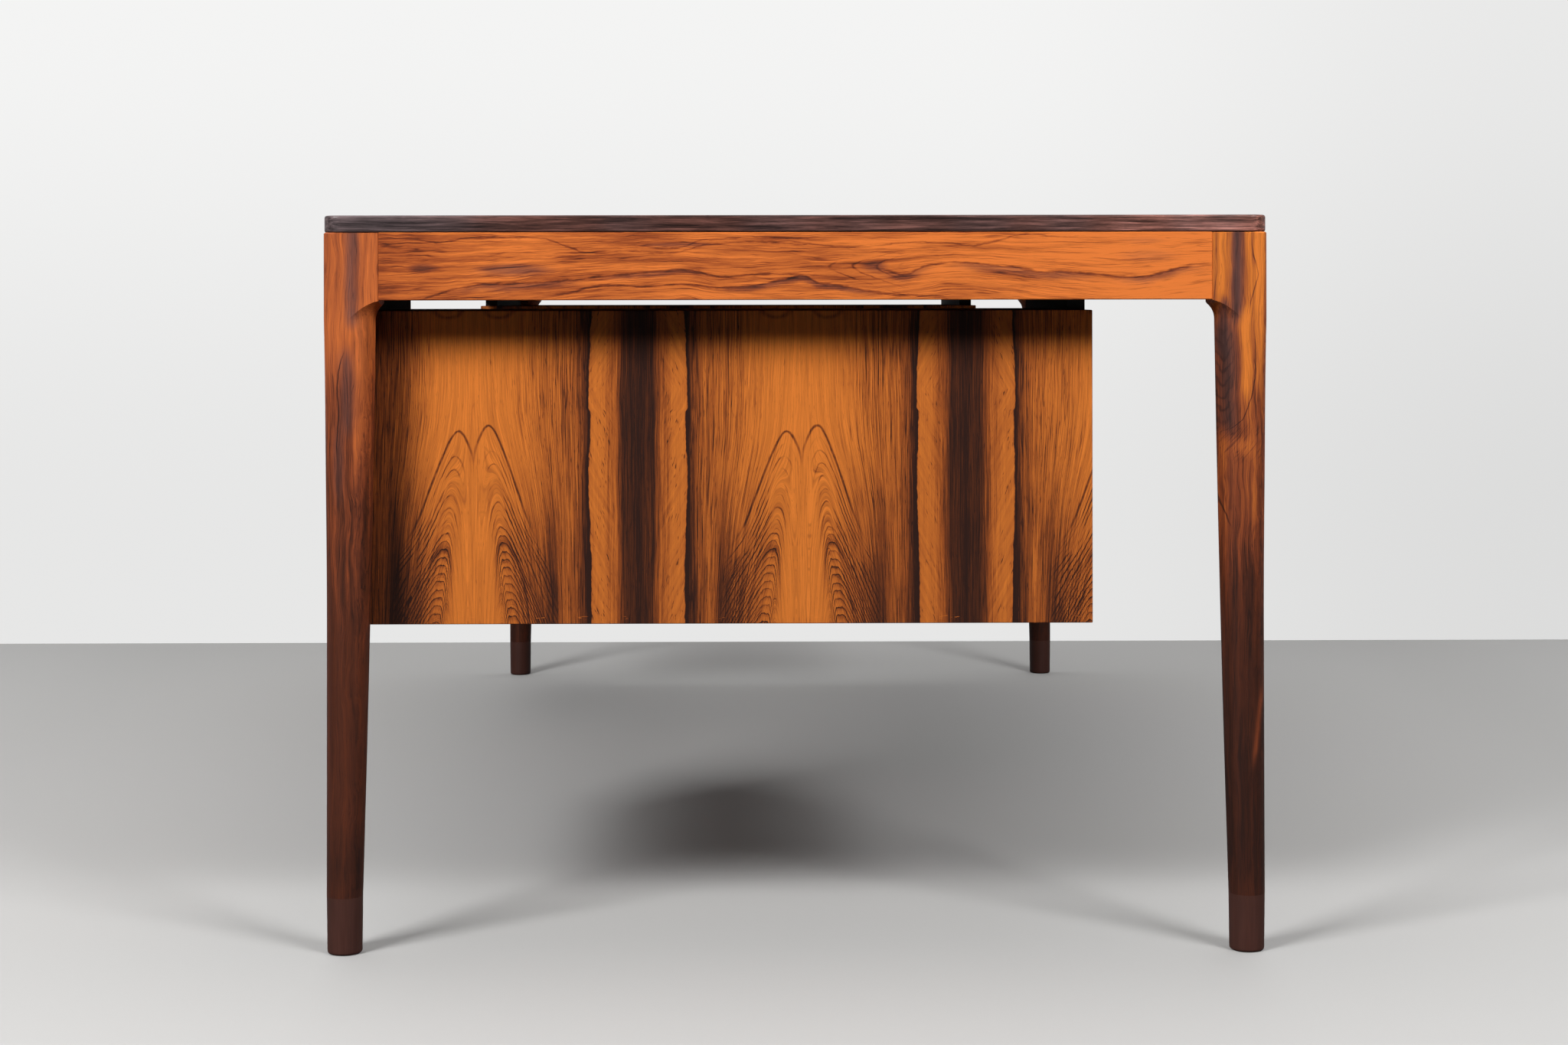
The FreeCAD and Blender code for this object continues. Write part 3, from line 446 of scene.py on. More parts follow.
def side_figure(f, seed):
    """Tone of a pedestal's side and height of its grain. Flames stand where the leaves of a
    pair meet. Past a wavy seam, a bright strip leads to a dark band where two pairs meet."""
    y, z = f.y, f.z
    leaf = Leaf(f, seed)
    out, own, slow = leaf.out, leaf.own, leaf.slow
    arches, jag = flame(f, leaf)
    fine, wide, thread, line, dash = leaf_fibres(f, leaf)

    # from the flame to the seam, higher up and lower down
    t = (out + slow * 0.35) / leaf.width
    high = f.ramp(t, [(0, 0.07), (0.2, 0.1), (0.32, 0.15), (0.42, 0.23), (0.5, 0.28),
                      (0.6, 0.35), (0.645, 0.5), (0.7, 0.66)])
    low = f.ramp(t, [(0, 0.07), (0.11, 0.09), (0.17, 0.2), (0.24, 0.29), (0.32, 0.43),
                     (0.42, 0.5), (0.46, 0.7), (0.495, 0.76), (0.525, 0.48), (0.58, 0.38),
                     (0.63, 0.54), (0.66, 0.78), (0.7, 0.9)])
    body = (leaf.below + slow).rise(18, 172).blend(high, low)
    lively = t.rise(0.16, 0.42) * 0.85 + 0.15
    # painted shadow of the front leg, darkening the side nearest the front
    painted_leg_shadow = (y - SIDE_LOW.y).fall(52, 104)
    inner = (body + fine * (0.62 + lively) + wide * (0.3 + lively * 0.3)
             + thread * (0.1 + lively * 0.3) + line * lively * 0.3
             + dash * (0.16 + lively * 0.2) + arches + painted_leg_shadow * 0.24)

    # the seam's distance from the next pair, in tenths of a metre, up the side
    foot = SIDE_LOW.z - 2
    gap = f.ramp((z - foot) / (SIDE_HIGH.z - foot), [
        (0, 0.474), (0.22, 0.478), (0.27, 0.486), (0.38, 0.497), (0.5, 0.504),
        (0.57, 0.492), (0.68, 0.481), (0.69, 0.507), (0.76, 0.505), (0.85, 0.494),
        (0.93, 0.48), (1, 0.472)], run="B_SPLINE")
    seam = leaf.width - gap * 100 + f.drift(own, z / 16, 3) * 3.4
    past = out - seam

    # from the seam to the dark band. The strip's fibres slant both ways from one height
    q = past / (leaf.width - seam)
    strip = f.ramp(q + slow * 0.003, [
        (0, 0.28), (0.1, 0.21), (0.28, 0.24), (0.42, 0.36), (0.54, 0.48),
        (0.62, 0.62), (0.69, 0.84), (0.8, 0.92), (1, 0.94)])
    slant = abs(z - (SIDE_LOW.z + 238)) * 0.45
    swirl = f.drift((past - slant) / 4, z / 60, own + 10, detail=3, rough=0.65)
    fleck = (f.grain((past - slant * 0.6) / 1.3, z / 9, own + 7, detail=1).rise(0.62, 0.74)
             * f.grain(past / 9, z / 22, own + 8, detail=1).rise(0.42, 0.6)
             * q.fall(0.3, 0.6))
    streak, band = q.rise(0.2, 0.55), q.rise(0.62, 0.74)
    outer = (strip + fine * (0.5 + streak * 0.85) * (1 - band * 0.25)
             + wide * (0.3 + streak * 0.6) * (1 - band * 0.3)
             + swirl * q.fall(0.35, 0.62) * 0.55 + thread * streak * 0.22 + fleck * 0.55
             + dash * 0.16)
    by_seam = past.rise(-10, -0.5)
    seam_line = (past + f.drift(own, z / 5, 6) * 2).near(-0.7, 1.8)
    tone = past.rise(-0.4, 0.5).blend(inner + by_seam * 0.26, outer) + seam_line * 0.55

    # small dark curls near the top, and rubbed marks along the lower edge
    curl = ((((out - 26 + jag) / 1.7) ** 2
             + (z - (SIDE_HIGH.z + 1) + jag * 0.6) ** 2).sqrt().near(8, 3))
    rub = (f.grain(y / 6, z / 1.1, seed, detail=1).rise(0.6, 0.68)
           * f.grain(y / 45, 1, seed + 1).rise(0.5, 0.6)
           * (z - SIDE_LOW.z).near(6.5, 3.5))
    tone = tone + curl * (0.3 + fine * 0.8) - rub * tone * 0.7
    return tone.clamp(), fine


def side_finish(name, seed):
    """A pedestal's side. The narrow strips round it are dark."""
    f = Finish(name)
    tone, fine = side_figure(f, seed)
    strip = (0.72 + f.drift(f.x / 3, f.y / 3, f.z / 60, detail=3) * 0.5
             + f.drift(f.x / 3, f.y / 60, f.z / 3, detail=3) * 0.4)
    return rosewood(f, faces(f.nx).blend(strip, tone), fine, (f.y, f.z, f.x), pores=0.06)


# The end rail's figure, in the desk's own depth and height: points along its long dark lines
# and along the swing of its grain.
RAIL_LINES = {
    "lower": ((-440, 648), (-373, 652), (-322, 665), (-282, 666.5), (-205, 672.5), (-130, 679),
              (-103, 680.5), (-77, 674), (-45, 676), (0, 676), (60, 672), (140, 668), (440, 662)),
    "bottom": ((-440, 640), (-269, 649.5), (-215, 660.3), (-184, 665.5), (-152, 663.4),
               (-109, 666.6), (-77, 662.4), (-25, 667.5), (6, 674), (20, 667.7), (46, 664.5),
               (78, 658), (120, 655), (152, 651.5), (440, 646)),
    "bold": ((-440, 690), (40, 684), (86, 680.5), (108, 676), (125, 682.5), (142, 687),
             (169, 688), (197, 684.5), (220, 682.5), (237, 679.4), (270, 678.3), (300, 676),
             (333, 673), (354, 675), (376, 680.5), (392, 684.7), (440, 686)),
    "upper": ((-440, 712), (-375, 711), (-354, 708), (-328, 713), (-290, 713), (-247, 711),
              (-218, 700.5), (-200, 697.5), (-173, 699.5), (-120, 698), (-90, 706), (-20, 708),
              (60, 703), (112, 708), (150, 707), (180, 705), (212, 712.5), (237, 715.5),
              (270, 712.5), (440, 716)),
}
RAIL_SWING = ((-440, 660), (-280, 667), (-120, 679), (-77, 675), (0, 676), (90, 679), (160, 687),
              (240, 680), (333, 674), (440, 686))
# how much darker the rail gets along its length
RAIL_DIM = ((-440, 0.29), (-300, 0.22), (-100, 0.2), (60, 0.17), (200, 0.05), (300, -0.05),
            (440, -0.08))
# where each line is drawn: line, raised by, from, to, thickness, strength
RAIL_STROKES = (("lower", 0, -373, 20, 1.3, 0.44), ("bottom", 0, -240, 150, 1.4, 0.48),
                ("bold", 0, 86, 414, 1.5, 0.55), ("upper", 0, -375, 280, 1.1, 0.4),
                ("upper", 4.5, -160, 30, 1, 0.35))
# smoky shades that hang under a line: line, how deep, from, to, strength
RAIL_SHADES = (("lower", 9, -328, -226, 0.55), ("lower", 7, -190, -100, 0.45),
               ("bottom", 7, -60, 70, 0.6), ("bold", 10, 92, 125, 0.55),
               ("bold", 11, 165, 290, 0.55), ("bold", 11, 325, 392, 0.6))
# smoky clouds: middle along and up, half their length and height, strength
RAIL_CLOUDS = ((-280, 680.5, 38, 6.5, 0.85), (-370, 682.5, 15, 4.5, 0.45),
               (350, 694, 30, 7, 0.3), (345, 709, 22, 4, 0.25), (78, 684, 13, 6, 0.55),
               (-118, 705.5, 36, 2.6, 0.55))
RAIL_ARCH_TIP = (22, 684)


def rail_figure(f):
    """The end rail: grain along the depth, that swings with a few long wavy dark lines, and
    smoky marks beside them. Returns tone, height of the grain and smoke."""
    y, z = f.y, f.z
    low, high = RAIL_LOW.z - 5.5, RAIL_HIGH.z + 7  # the lines stay between these
    wander = f.drift(y / 30, z / 12, 1) * 5
    jag = f.drift(y / 7, z / 4, 2, detail=3) * 2.4
    lines = {name: f.course(y, points, low, high) + wander + jag
             for name, points in RAIL_LINES.items()}

    # the grain swings with the lower lines, less so near the top
    swing = f.course(y, RAIL_SWING, low, high) - (RAIL_LOW.z + 25.5)
    lift = z.fall(RAIL_LOW.z + 21.5, RAIL_HIGH.z - 2) * 0.75 + 0.15
    side = z - swing * lift + wander * 0.8
    fine = f.drift(side / 0.85, y / 60, 2, detail=4, rough=0.75)
    wide = f.drift(side / 5, y / 130, 6, detail=3, rough=0.6)
    broad = f.drift(side / 11, y / 110, 12)
    thread = f.veins(side / 3, y / 150, 8)
    vein = f.veins(side / 6.5, y / 200, 9, 0.02) * f.grain(side / 14, y / 60, 10).rise(0.4, 0.56)
    streak = (f.grain(side / 0.8, y / 26, 15).rise(0.56, 0.74)
              * f.grain(side / 9, y / 70, 16).rise(0.4, 0.6))
    broken = f.grain(y / 16, z / 5, 20)

    def stroke(level, start, end, thick):
        return (abs(z - level).fall(0.1, thick * (0.6 + broken * 1.4)) * (0.1 + broken * 1.45)
                * y.within(start, end, 20))

    def shade(level, deep, start, end):
        under = level - z
        return under.rise(-0.6, 1.4) * under.fall(deep * 0.3, deep) * y.within(start, end, 25)

    def cloud(middle_y, middle_z, half_length, half_height):
        up = (z - middle_z + fine * 7) / half_height
        return (((y - middle_y) / half_length) ** 2 + up ** 2).sqrt().fall(0.25, 1.35)

    # arches on their side, opening to the right of the end that faces the camera
    tip_y, tip_z = RAIL_ARCH_TIP
    up = z - tip_z
    bow = ((up * up + 40).sqrt() - 6.3) * up.rise(-0.5, 0.5).blend(3.2, 4.6)
    front = y - tip_y - bow + jag * 3
    nest = (front.crests(23).rise(0.72, 1) * front.rise(-3, 3) * y.fall(70, 130)
            * f.grain(front / 30, z / 8, 4).rise(0.3, 0.6))

    strokes = sum(stroke(lines[name] + raised, start, end, thick) * strength
                  for name, raised, start, end, thick, strength in RAIL_STROKES)
    smoke = (sum(cloud(*place) * strength for *place, strength in RAIL_CLOUDS)
             + sum(shade(lines[name], *place) * strength
                   for name, *place, strength in RAIL_SHADES))
    smoke = smoke * (0.55 + f.grain(side / 2.5, y / 25, 14, detail=3) * 0.8)
    by_block = (y - RAIL_LOW.y).fall(26.3, 53.3)
    tone = (f.course(y, RAIL_DIM, -0.3, 0.7) + fine * 1.45 + wide * 0.95 + broad * 0.85
            + thread * 0.22 + vein * 0.24 + streak * 0.22 + nest * 0.34 + strokes * 0.86
            + smoke * 0.54 + by_block * 0.12)
    return tone, fine, smoke * 0.58


def rail_finish(name):
    f = Finish(name)
    tone, fine, smoke = rail_figure(f)
    # painted shade: the faces that look down are made darker
    under = f.nz.fall(-0.9, -0.6)
    return rosewood(f, tone + under * 0.15, fine, (f.z, f.y, f.x), ("red", "auburn"), smoke,
                    pores=0.13)


def long_rail_finish(name, seed):
    """The rails along the desk: straight-grained, with broad and fine stripes."""
    f = Finish(name)
    x, y, z = f.x, f.y, f.z
    side = z + f.drift(z / 60, x / 160, y / 60 + seed) * 22
    fine = f.drift(side / 1.5, x / 110, y / 3 + seed, detail=3, rough=0.6)
    wide = f.drift(side / 9, x / 300, y / 14 + seed)
    lines = f.veins(side / 6, x / 230, y / 9 + seed + 3)
    tone = 0.16 + fine * 0.4 + wide * 0.55 + lines * 0.22
    return rosewood(f, tone, fine, (z, x, y), ("red", "auburn"))


# The two kinds of leg, by the end of the desk's depth that they stand at. Places across are
# from the leg's middle, towards the back.
FRONT_LEG = {
    "woods": ("ruddy", "chestnut"),
    # tone: share of the desk's height, tone. Darker lower down, partly darker wood and partly
    # painted shade
    "body": [(0.08, 0.86), (0.12, 0.9), (0.18, 0.82), (0.4, 0.78), (0.56, 0.72), (0.68, 0.6),
             (0.77, 0.44), (0.815, 0.24), (0.85, 0.16), (0.89, 0.27), (0.98, 0.3)],
    # dark lines: points (height, place across), from, to, thickness, strength
    "lines": [(((480, -13), (505, -14), (540, -12), (565, -13.5), (590, -10), (610, -4)),
               500, 596, 0.9, 0.5)],
    # smoky and pale patches: place across, reach, from, to, softness, strength
    "smoke": [(0.5, 11, 640, 760, 14, 0.75), (1, 11, 624, 642, 7, 0.55),
              (-4.5, 12, 520, 598, 14, 0.62), (-12, 9, 455, 520, 16, 0.45)],
    "pale": [(21, 6, 650, 760, 12, 0.12), (9, 8, 500, 600, 20, 0.26), (5, 4, 470, 520, 16, 0.22)],
    # how much the smoke darkens, evenly and in wisps, and how much it greys
    "darken": (0.12, 0),
    "grey": 0.9,
}
BACK_LEG = {
    "woods": ("bright", "chestnut"),
    # darker lower down, partly darker wood and partly painted shade
    "body": [(0.08, 0.9), (0.14, 0.95), (0.26, 0.94), (0.33, 0.9), (0.44, 0.84), (0.5, 0.78),
             (0.56, 0.64), (0.66, 0.5), (0.74, 0.5), (0.82, 0.44), (0.88, 0.28), (0.98, 0.2)],
    "lines": [(((500, -21), (519, -16), (522, -8), (530, 2), (549, 10), (570, 14.5),
                (600, 15.5), (640, 14)), 519, 612, 0.9, 0.42),
              (((640, 10), (652, 12), (668, 16.5), (678, 18), (694, 14), (710, 12)),
               648, 700, 0.9, 0.45),
              (((420, -8), (428, -10), (445, -16), (466, -21), (475, -23)), 428, 468, 1.2, 0.4)],
    "smoke": [(-3, 10, 632, 760, 14, 1.15), (-15, 7, 595, 650, 8, 0.8),
              (-12, 17, 520, 625, 14, 0.7)],
    "pale": [(6.5, 8, 556, 640, 14, 0.42), (19, 7, 560, 760, 14, 0.26),
             (-18, 7, 650, 760, 14, 0.2), (13, 4, 420, 500, 20, 0.2),
             (2, 20, 496, 512, 8, 0.2)],
    "darken": (0.08, 0.62),
    "grey": 0.76,
}
LEGS = {"front": FRONT_LEG, "back": BACK_LEG}


def back_leg_arches(f, across, seed):
    """What a back leg's shaft has of its own: nested arches, a fan of fine lines under them,
    and a bright streak that leans, low down."""
    z = f.z
    spread = ((((across + 15) ** 2 + 16).sqrt() - 4) * 2.6
              + f.drift(across / 6, z / 9, seed + 9) * 11)
    nest = ((z - 520 - spread).crests(13).rise(0.5, 1)
            * across.near(-15, 13) * z.within(528, 618, 10))
    fan = f.veins((z - across * 1.3) / 6, across / 40, seed + 7) * z.within(492, 524, 8)
    lean = (across - (z - 200) * 0.12).near(15, 5) * z.within(190, 262, 14)
    return nest * 0.26 + fan * 0.22 - lean * 0.36


def leg_figure(f, centre, seed, kind):
    """A leg: bright block and shoulder, and a brown shaft that darkens towards the splice,
    partly as darker wood and partly as painted shade. Returns tone, height of the grain and smoke."""
    leg = LEGS[kind]
    x, y, z = f.x - centre.x, f.y - centre.y, f.z
    across = y + f.drift(0.3, z / 60, seed) * 5
    side = across + x * 0.55 + f.drift(y / 20, z / 60, x / 20 + seed) * 9
    deep = (x - y * 0.4) / 3 + seed
    fine = f.drift(side / 0.9, z / 60, deep, detail=4, rough=0.75)
    wide = f.drift(side / 4.5, z / 150, deep / 3, detail=3, rough=0.6)
    thread = f.veins(side / 2.5, z / 120, deep / 2)
    streak = f.grain(side / 1.7, z / 34, deep / 2, detail=3, rough=0.6)
    wisp = f.grain(across / 7, z / 40, seed + 2, detail=3)
    jag = f.drift(z / 6, 1, seed + 5) * 1.2

    def patches(places):
        return sum(across.near(place, reach) * z.within(low, high, soft) * strength
                   for place, reach, low, high, soft, strength in places)

    lines = sum(abs(y - f.course(z, points, -40, 40) + jag).fall(0.1, thick)
                * z.within(low, high, 8) * strength
                for points, low, high, thick, strength in leg["lines"])
    smoke = patches(leg["smoke"])
    evenly, in_wisps = leg["darken"]
    marks = lines + smoke * (evenly + wisp * in_wisps) - patches(leg["pale"])
    if kind == "back":
        marks = marks + back_leg_arches(f, across, seed)
    quiet = z.rise(250, 420) * 0.6 + 0.4
    tone = (f.ramp(z / DESK_HEIGHT, leg["body"]) + marks
            + (fine * 1.05 + wide * 0.9 + thread * 0.2) * quiet)
    return tone, fine, smoke * (0.1 + wisp * 0.8 + streak) * leg["grey"]


def leg_finish(name, centre, seed, kind):
    f = Finish(name)
    tone, fine, smoke = leg_figure(f, centre, seed, kind)
    end = abs(f.nz).rise(0.85, 0.97)
    return rosewood(f, tone + end * 0.2, fine, (f.y + f.x, f.z, f.x - f.y),
                    LEGS[kind]["woods"], smoke, pores=0.1, base=0.36)


def foot_finish(name):
    """Plain dark wood with a faint grain."""
    f = Finish(name)
    c = paint("foot")
    fine = f.drift((f.x + f.y) / 1.8, f.z / 40, (f.x - f.y) / 1.8, detail=3)
    slow = f.drift(f.x / 25, f.z / 60, f.y / 25)
    colour = f.mix((0.5 + fine * 0.9 + slow * 0.6).clamp(), c * 0.7, c * 1.35)
    return f.surface(colour, 0.4 + fine * 0.1, fine, 0.00005, Specular_IOR_Level=0.45)


def edge_finish(name):
    """Lippings: near-black wood, its grain along each strip and its corners mitred. It has
    gone grey in places, most of all at the front, where the grey is a painted reflection,
    and is redder at the back."""
    f = Finish(name)
    c, wear_and_sheen_grey = paint("edge"), paint("edge_wear_and_sheen")
    at_end = ((abs(f.x) - HALF_LENGTH) - (abs(f.y) - HALF_DEPTH)).rise(-0.4, 0.4)

    def run(length, height, depth, **noise):
        """Drifting noise, long along the strip that the point lies on."""
        return at_end.blend(f.drift(f.x / length, f.z / height, f.y / depth, **noise),
                            f.drift(f.y / length, f.z / height, f.x / depth, **noise))

    fine = run(55, 2.2, 2.6, detail=4, rough=0.75)
    tone = (0.4 + fine * 2.8 + run(130, 5, 9) * 1.3).clamp()
    colour = f.ramp(tone, [(0, c * 0.22), (0.45, c * 0.85), (0.75, c * 1.7), (1, c * 2.6)])
    # grey of wear in blotches here and there, and a painted reflection (sheen) that greys the front
    # strip most
    pale = f.ramp(tone, [(0, wear_and_sheen_grey * 0.14), (0.5, wear_and_sheen_grey * 0.44), (1, wear_and_sheen_grey)])
    grey = (f.grain(f.x / 160, f.y / 160, 5).rise(0.42, 0.6) * 0.32
            + (f.y + HALF_DEPTH).fall(30, 220) * 0.7)
    colour = f.mix(grey.clamp(), colour, pale)
    by_back = (HALF_DEPTH - f.y).fall(50, 320)
    colour = f.mix(by_back * 0.8, colour, f.scaled(colour, 3.4))
    return f.surface(colour, 0.36 + fine * 0.12, fine, 0.00006, Specular_IOR_Level=0.35)


def long_arches(f, across, along, width, pitch, steep, seed):
    """Tone of long arches in book-matched leaves, and height of their grain."""
    own = (across / width).floor() * 0.27 + seed
    out = across.fold(width)
    slow = f.drift(out / 60, along / 420, own) * 30
    reach = ((out + slow * 0.3) ** 2 + 400).sqrt()
    under = along - (reach - 20) * steep + slow * 4
    jag = f.drift(out / 8, along / 30, own) * pitch * 0.5
    nest = (under + jag).crests(pitch).rise(0.62, 1)
    weight = f.grain(under / (pitch * 3.1), 1, own).rise(0.35, 0.7)
    side = out + slow * 0.5 - along * 0.02
    fine = f.drift(side / 1.6, along / 150, own, detail=3, rough=0.6)
    wide = f.drift(side / 10, along / 420, own + 2)
    t = out / width
    body = f.ramp(t, [(0, 0.1), (0.3, 0.14), (0.5, 0.3), (0.66, 0.42), (0.74, 0.66),
                      (0.8, 0.3), (0.92, 0.48), (1, 0.72)])
    return body + nest * weight * t.fall(0.45, 0.8) * 0.4 + fine * 0.36 + wide * 0.44, fine


def desktop_finish(name):
    f = Finish(name)
    leaf = bpy.context.scene.desk_figure.top_leaf * MM
    tone, fine = long_arches(f, f.y, f.x, leaf, 52, 7, 11)
    return rosewood(f, tone, fine, (f.y, f.x, f.z), base=0.34)


def board_finish(name, seed, along="y"):
    """Pedestal tops, bottoms and backs: quiet arches, and a strip at each edge."""
    f = Finish(name)
    leaf = bpy.context.scene.desk_figure.board_leaf * MM
    run, facing = f.along(along)
    deep = f.z if along == "y" else f.y
    tone, fine = long_arches(f, f.x, run, leaf, 60, 4, seed)
    strip = (0.34 + f.drift(run, f.x / 70, deep / 1.3, detail=3) * 0.9
             + f.drift(seed, f.x / 200, deep / 7) * 0.5)
    tone = faces(facing).blend(tone, strip)
    return rosewood(f, tone * 0.8 + 0.08, fine, (f.x, run, deep))


def front_finish(name, seed, centre):
    """Drawer fronts and their pulls: one run of veneer with its grain across the front."""
    f = Finish(name)
    x, z = f.x - centre.x, f.z
    side = z + f.drift(x / 170, z / 90, seed) * 34
    fine = f.drift(side / 0.9, x / 110, seed, detail=4, rough=0.72)
    wide = f.drift(side / 9, x / 320, seed + 2)
    broad = f.drift(side / 30, x / 420, seed + 7)
    lines = f.veins(side / 8, x / 300, seed + 5, 0.024)
    tone = 0.24 + fine * 0.9 + wide * 0.75 + broad * 0.6 + lines * 0.3 + faces(f.nx) * 0.25
    return rosewood(f, tone, fine, (z, x, f.y))


# plain woods: palest and darkest as shares of the wood's own colour, and roughness
PLAIN_WOODS = {"lining": (1.25, 0.55, 0.46), "beech": (1.12, 0.66, 0.56)}


def plain_wood(name, wood, along, seed):
    """Drawer linings and the hidden frame: even wood, with darker rings on end grain."""
    f = Finish(name)
    c = paint(wood)
    pale, dark, rough = PLAIN_WOODS[wood]
    run, facing = f.along(along)
    across, deep = (f.along(axis)[0] for axis in "xyz" if axis != along)
    bend = f.drift(across / 50, run / 200, deep / 50 + seed) * 16
    side = across + bend
    fine = f.drift(side / 1.3, run / 60, deep / 1.6 + seed, detail=3)
    wide = f.drift(side / 9, run / 220, deep / 9 + seed)
    pore = f.grain(across / 0.45, run / 6, deep / 0.45).rise(0.6, 0.78)
    end = abs(facing).rise(0.75, 0.95)
    from_heart = ((across + 70) ** 2 + (deep - 300) ** 2).sqrt()
    ring = (from_heart + bend * 0.3).crests(4.5)
    tone = (0.45 + fine * 0.55 + wide * 0.8 + pore * 0.22 + end * (0.22 + ring * 0.2)).clamp()
    colour = f.mix(tone, c * pale, c * dark)
    return f.surface(colour, rough + fine * 0.1, fine - pore * 0.5, 0.00008,
                     Specular_IOR_Level=0.35)


def spacer_finish(name):
    """Matt black stain, rubbed a little grey."""
    f = Finish(name)
    c = paint("black")
    rub = f.grain(f.x / 12, f.y / 12, f.z / 12, detail=3).rise(0.5, 0.72)
    fine = f.drift(f.x / 1.5, f.y / 30, f.z / 1.5, detail=3)
    colour = f.mix((rub * 0.5 + fine * 0.4).clamp(), c, c * 3.6)
    return f.surface(colour, 0.62 + fine * 0.2, fine, 0.00005, Specular_IOR_Level=0.3)


def zinc_finish(name):
    """Zinc plating: dull metal with faint blotches and scratches."""
    f = Finish(name)
    c = paint("zinc")
    blotch = f.grain(f.x / 5, f.y / 5, f.z / 5, detail=3)
    scratch = f.grain(f.x / 0.5, f.y / 6, f.z / 0.7)
    colour = f.mix(blotch, c * 0.75, c * 1.2)
    return f.surface(colour, 0.28 + blotch * 0.2 + scratch * 0.08, scratch, 0.00002, Metallic=1)


def dress(names, material):
    """Gives CAD nodes a finish, in their own material slots."""
    for name in names:
        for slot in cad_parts[name].material_slots:
            slot.material = material


class DESK_OT_top(bpy.types.Operator):
    """Gives the desktop its veneer and its dark lippings"""

    bl_idname = "desk.top"
    bl_label = "Desktop"

    def execute(self, context):
        dress(["desktop_panel"], desktop_finish("desktop_veneer"))
        dress(["desktop_lippings"], edge_finish("edge_wood"))
        return {"FINISHED"}


class DESK_OT_legs(bpy.types.Operator):
    """Gives each leg its own run of rosewood, and the feet their dark wood"""

    bl_idname = "desk.legs"
    bl_label = "Legs and feet"

    def execute(self, context):
        feet = foot_finish("foot_wood")
        for k, hand in enumerate(HANDS):
            for j, end in enumerate(ENDS):
                name = f"{hand}_{end}_leg"
                seed = 3 + k * 7 + j * 2
                dress([name], leg_finish(f"{name}_wood", middle_of(name), seed, end))
                dress([f"{hand}_{end}_foot"], feet)
        return {"FINISHED"}


class DESK_OT_rails(bpy.types.Operator):
    """Gives the rails their bright wood"""

    bl_idname = "desk.rails"
    bl_label = "Rails"

    def execute(self, context):
        dress(["right_end_rail", "left_end_rail"], rail_finish("end_rail_wood"))
        dress(["front_rail"], long_rail_finish("front_rail_wood", 4))
        dress(["back_rail"], long_rail_finish("back_rail_wood", 9))
        return {"FINISHED"}


class DESK_OT_pedestals(bpy.types.Operator):
    """Gives the pedestals their book-matched sides and plainer boards"""

    bl_idname = "desk.pedestals"
    bl_label = "Pedestals"

    def execute(self, context):
        for k, hand in enumerate(HANDS):
            for side, seed in (("outer", 0), ("inner", 11)):
                dress([f"{hand}_pedestal_{side}_side"],
                      side_finish(f"{hand}_{side}_veneer", seed + k * 5))
            dress([f"{hand}_pedestal_top", f"{hand}_pedestal_bottom"],
                  board_finish(f"{hand}_board_veneer", 20 + k))
            dress([f"{hand}_pedestal_back"], board_finish(f"{hand}_back_veneer", 24 + k, along="z"))
        dress(["pedestal_spacers"], spacer_finish("black_stain"))
        return {"FINISHED"}


class DESK_OT_drawers(bpy.types.Operator):
    """Gives the drawers their fronts, pulls and linings"""

    bl_idname = "desk.drawers"
    bl_label = "Drawers"

    def execute(self, context):
        lining = plain_wood("lining_along_sides", "lining", "y", 2)
        bottoms = plain_wood("lining_across_bottoms", "lining", "x", 5)
        for k, hand in enumerate(HANDS):
            centre = middle_of(f"{hand}_top_drawer_front")
            fronts = front_finish(f"{hand}_front_veneer", 30 + k * 3, centre)
            for level in LEVELS:
                name = f"{hand}_{level}_drawer"
                dress([f"{name}_front", f"{name}_pull"], fronts)
                dress([f"{name}_sides"], lining)
                dress([f"{name}_bottom"], bottoms)
        dress(["drawer_runners"], lining)
        return {"FINISHED"}


class DESK_OT_hidden_frame(bpy.types.Operator):
    """Gives the bearers, cross rails, braces and dowels their plain woods"""

    bl_idname = "desk.hidden_frame"
    bl_label = "Hidden frame"

    def execute(self, context):
        dress(["front_bearer", "rear_bearer"], plain_wood("beech_along_bearers", "beech", "x", 1))
        dress(["cross_rails", "corner_braces"], plain_wood("beech_across", "beech", "y", 4))
        dress(["foot_dowels"], plain_wood("beech_dowels", "beech", "z", 6))
        return {"FINISHED"}


class DESK_OT_hardware(bpy.types.Operator):
    """Gives the bolts, nuts, brackets and screws their zinc"""

    bl_idname = "desk.hardware"
    bl_label = "Bolts and brackets"

    def execute(self, context):
        dress(["corner_bolts", "corner_nuts_and_washers", "desktop_brackets", "bracket_screws",
               "hanging_bolts"], zinc_finish("zinc_plate"))
        return {"FINISHED"}


# square lamps: name, place, what they point at and side in metres, watts
LAMPS = (
    ("front_left_lamp", (3.3, -2.5, 2.98), (0.9, 0, 0.45), 1.3, 170),
    ("front_right_lamp", (3.3, 2.3, 2.98), (0.9, 0, 0.45), 1.3, 120),
    ("overhead_lamp", (-0.5, 0, 3.6), (-0.5, 0, 0), 3.4, 62),
)


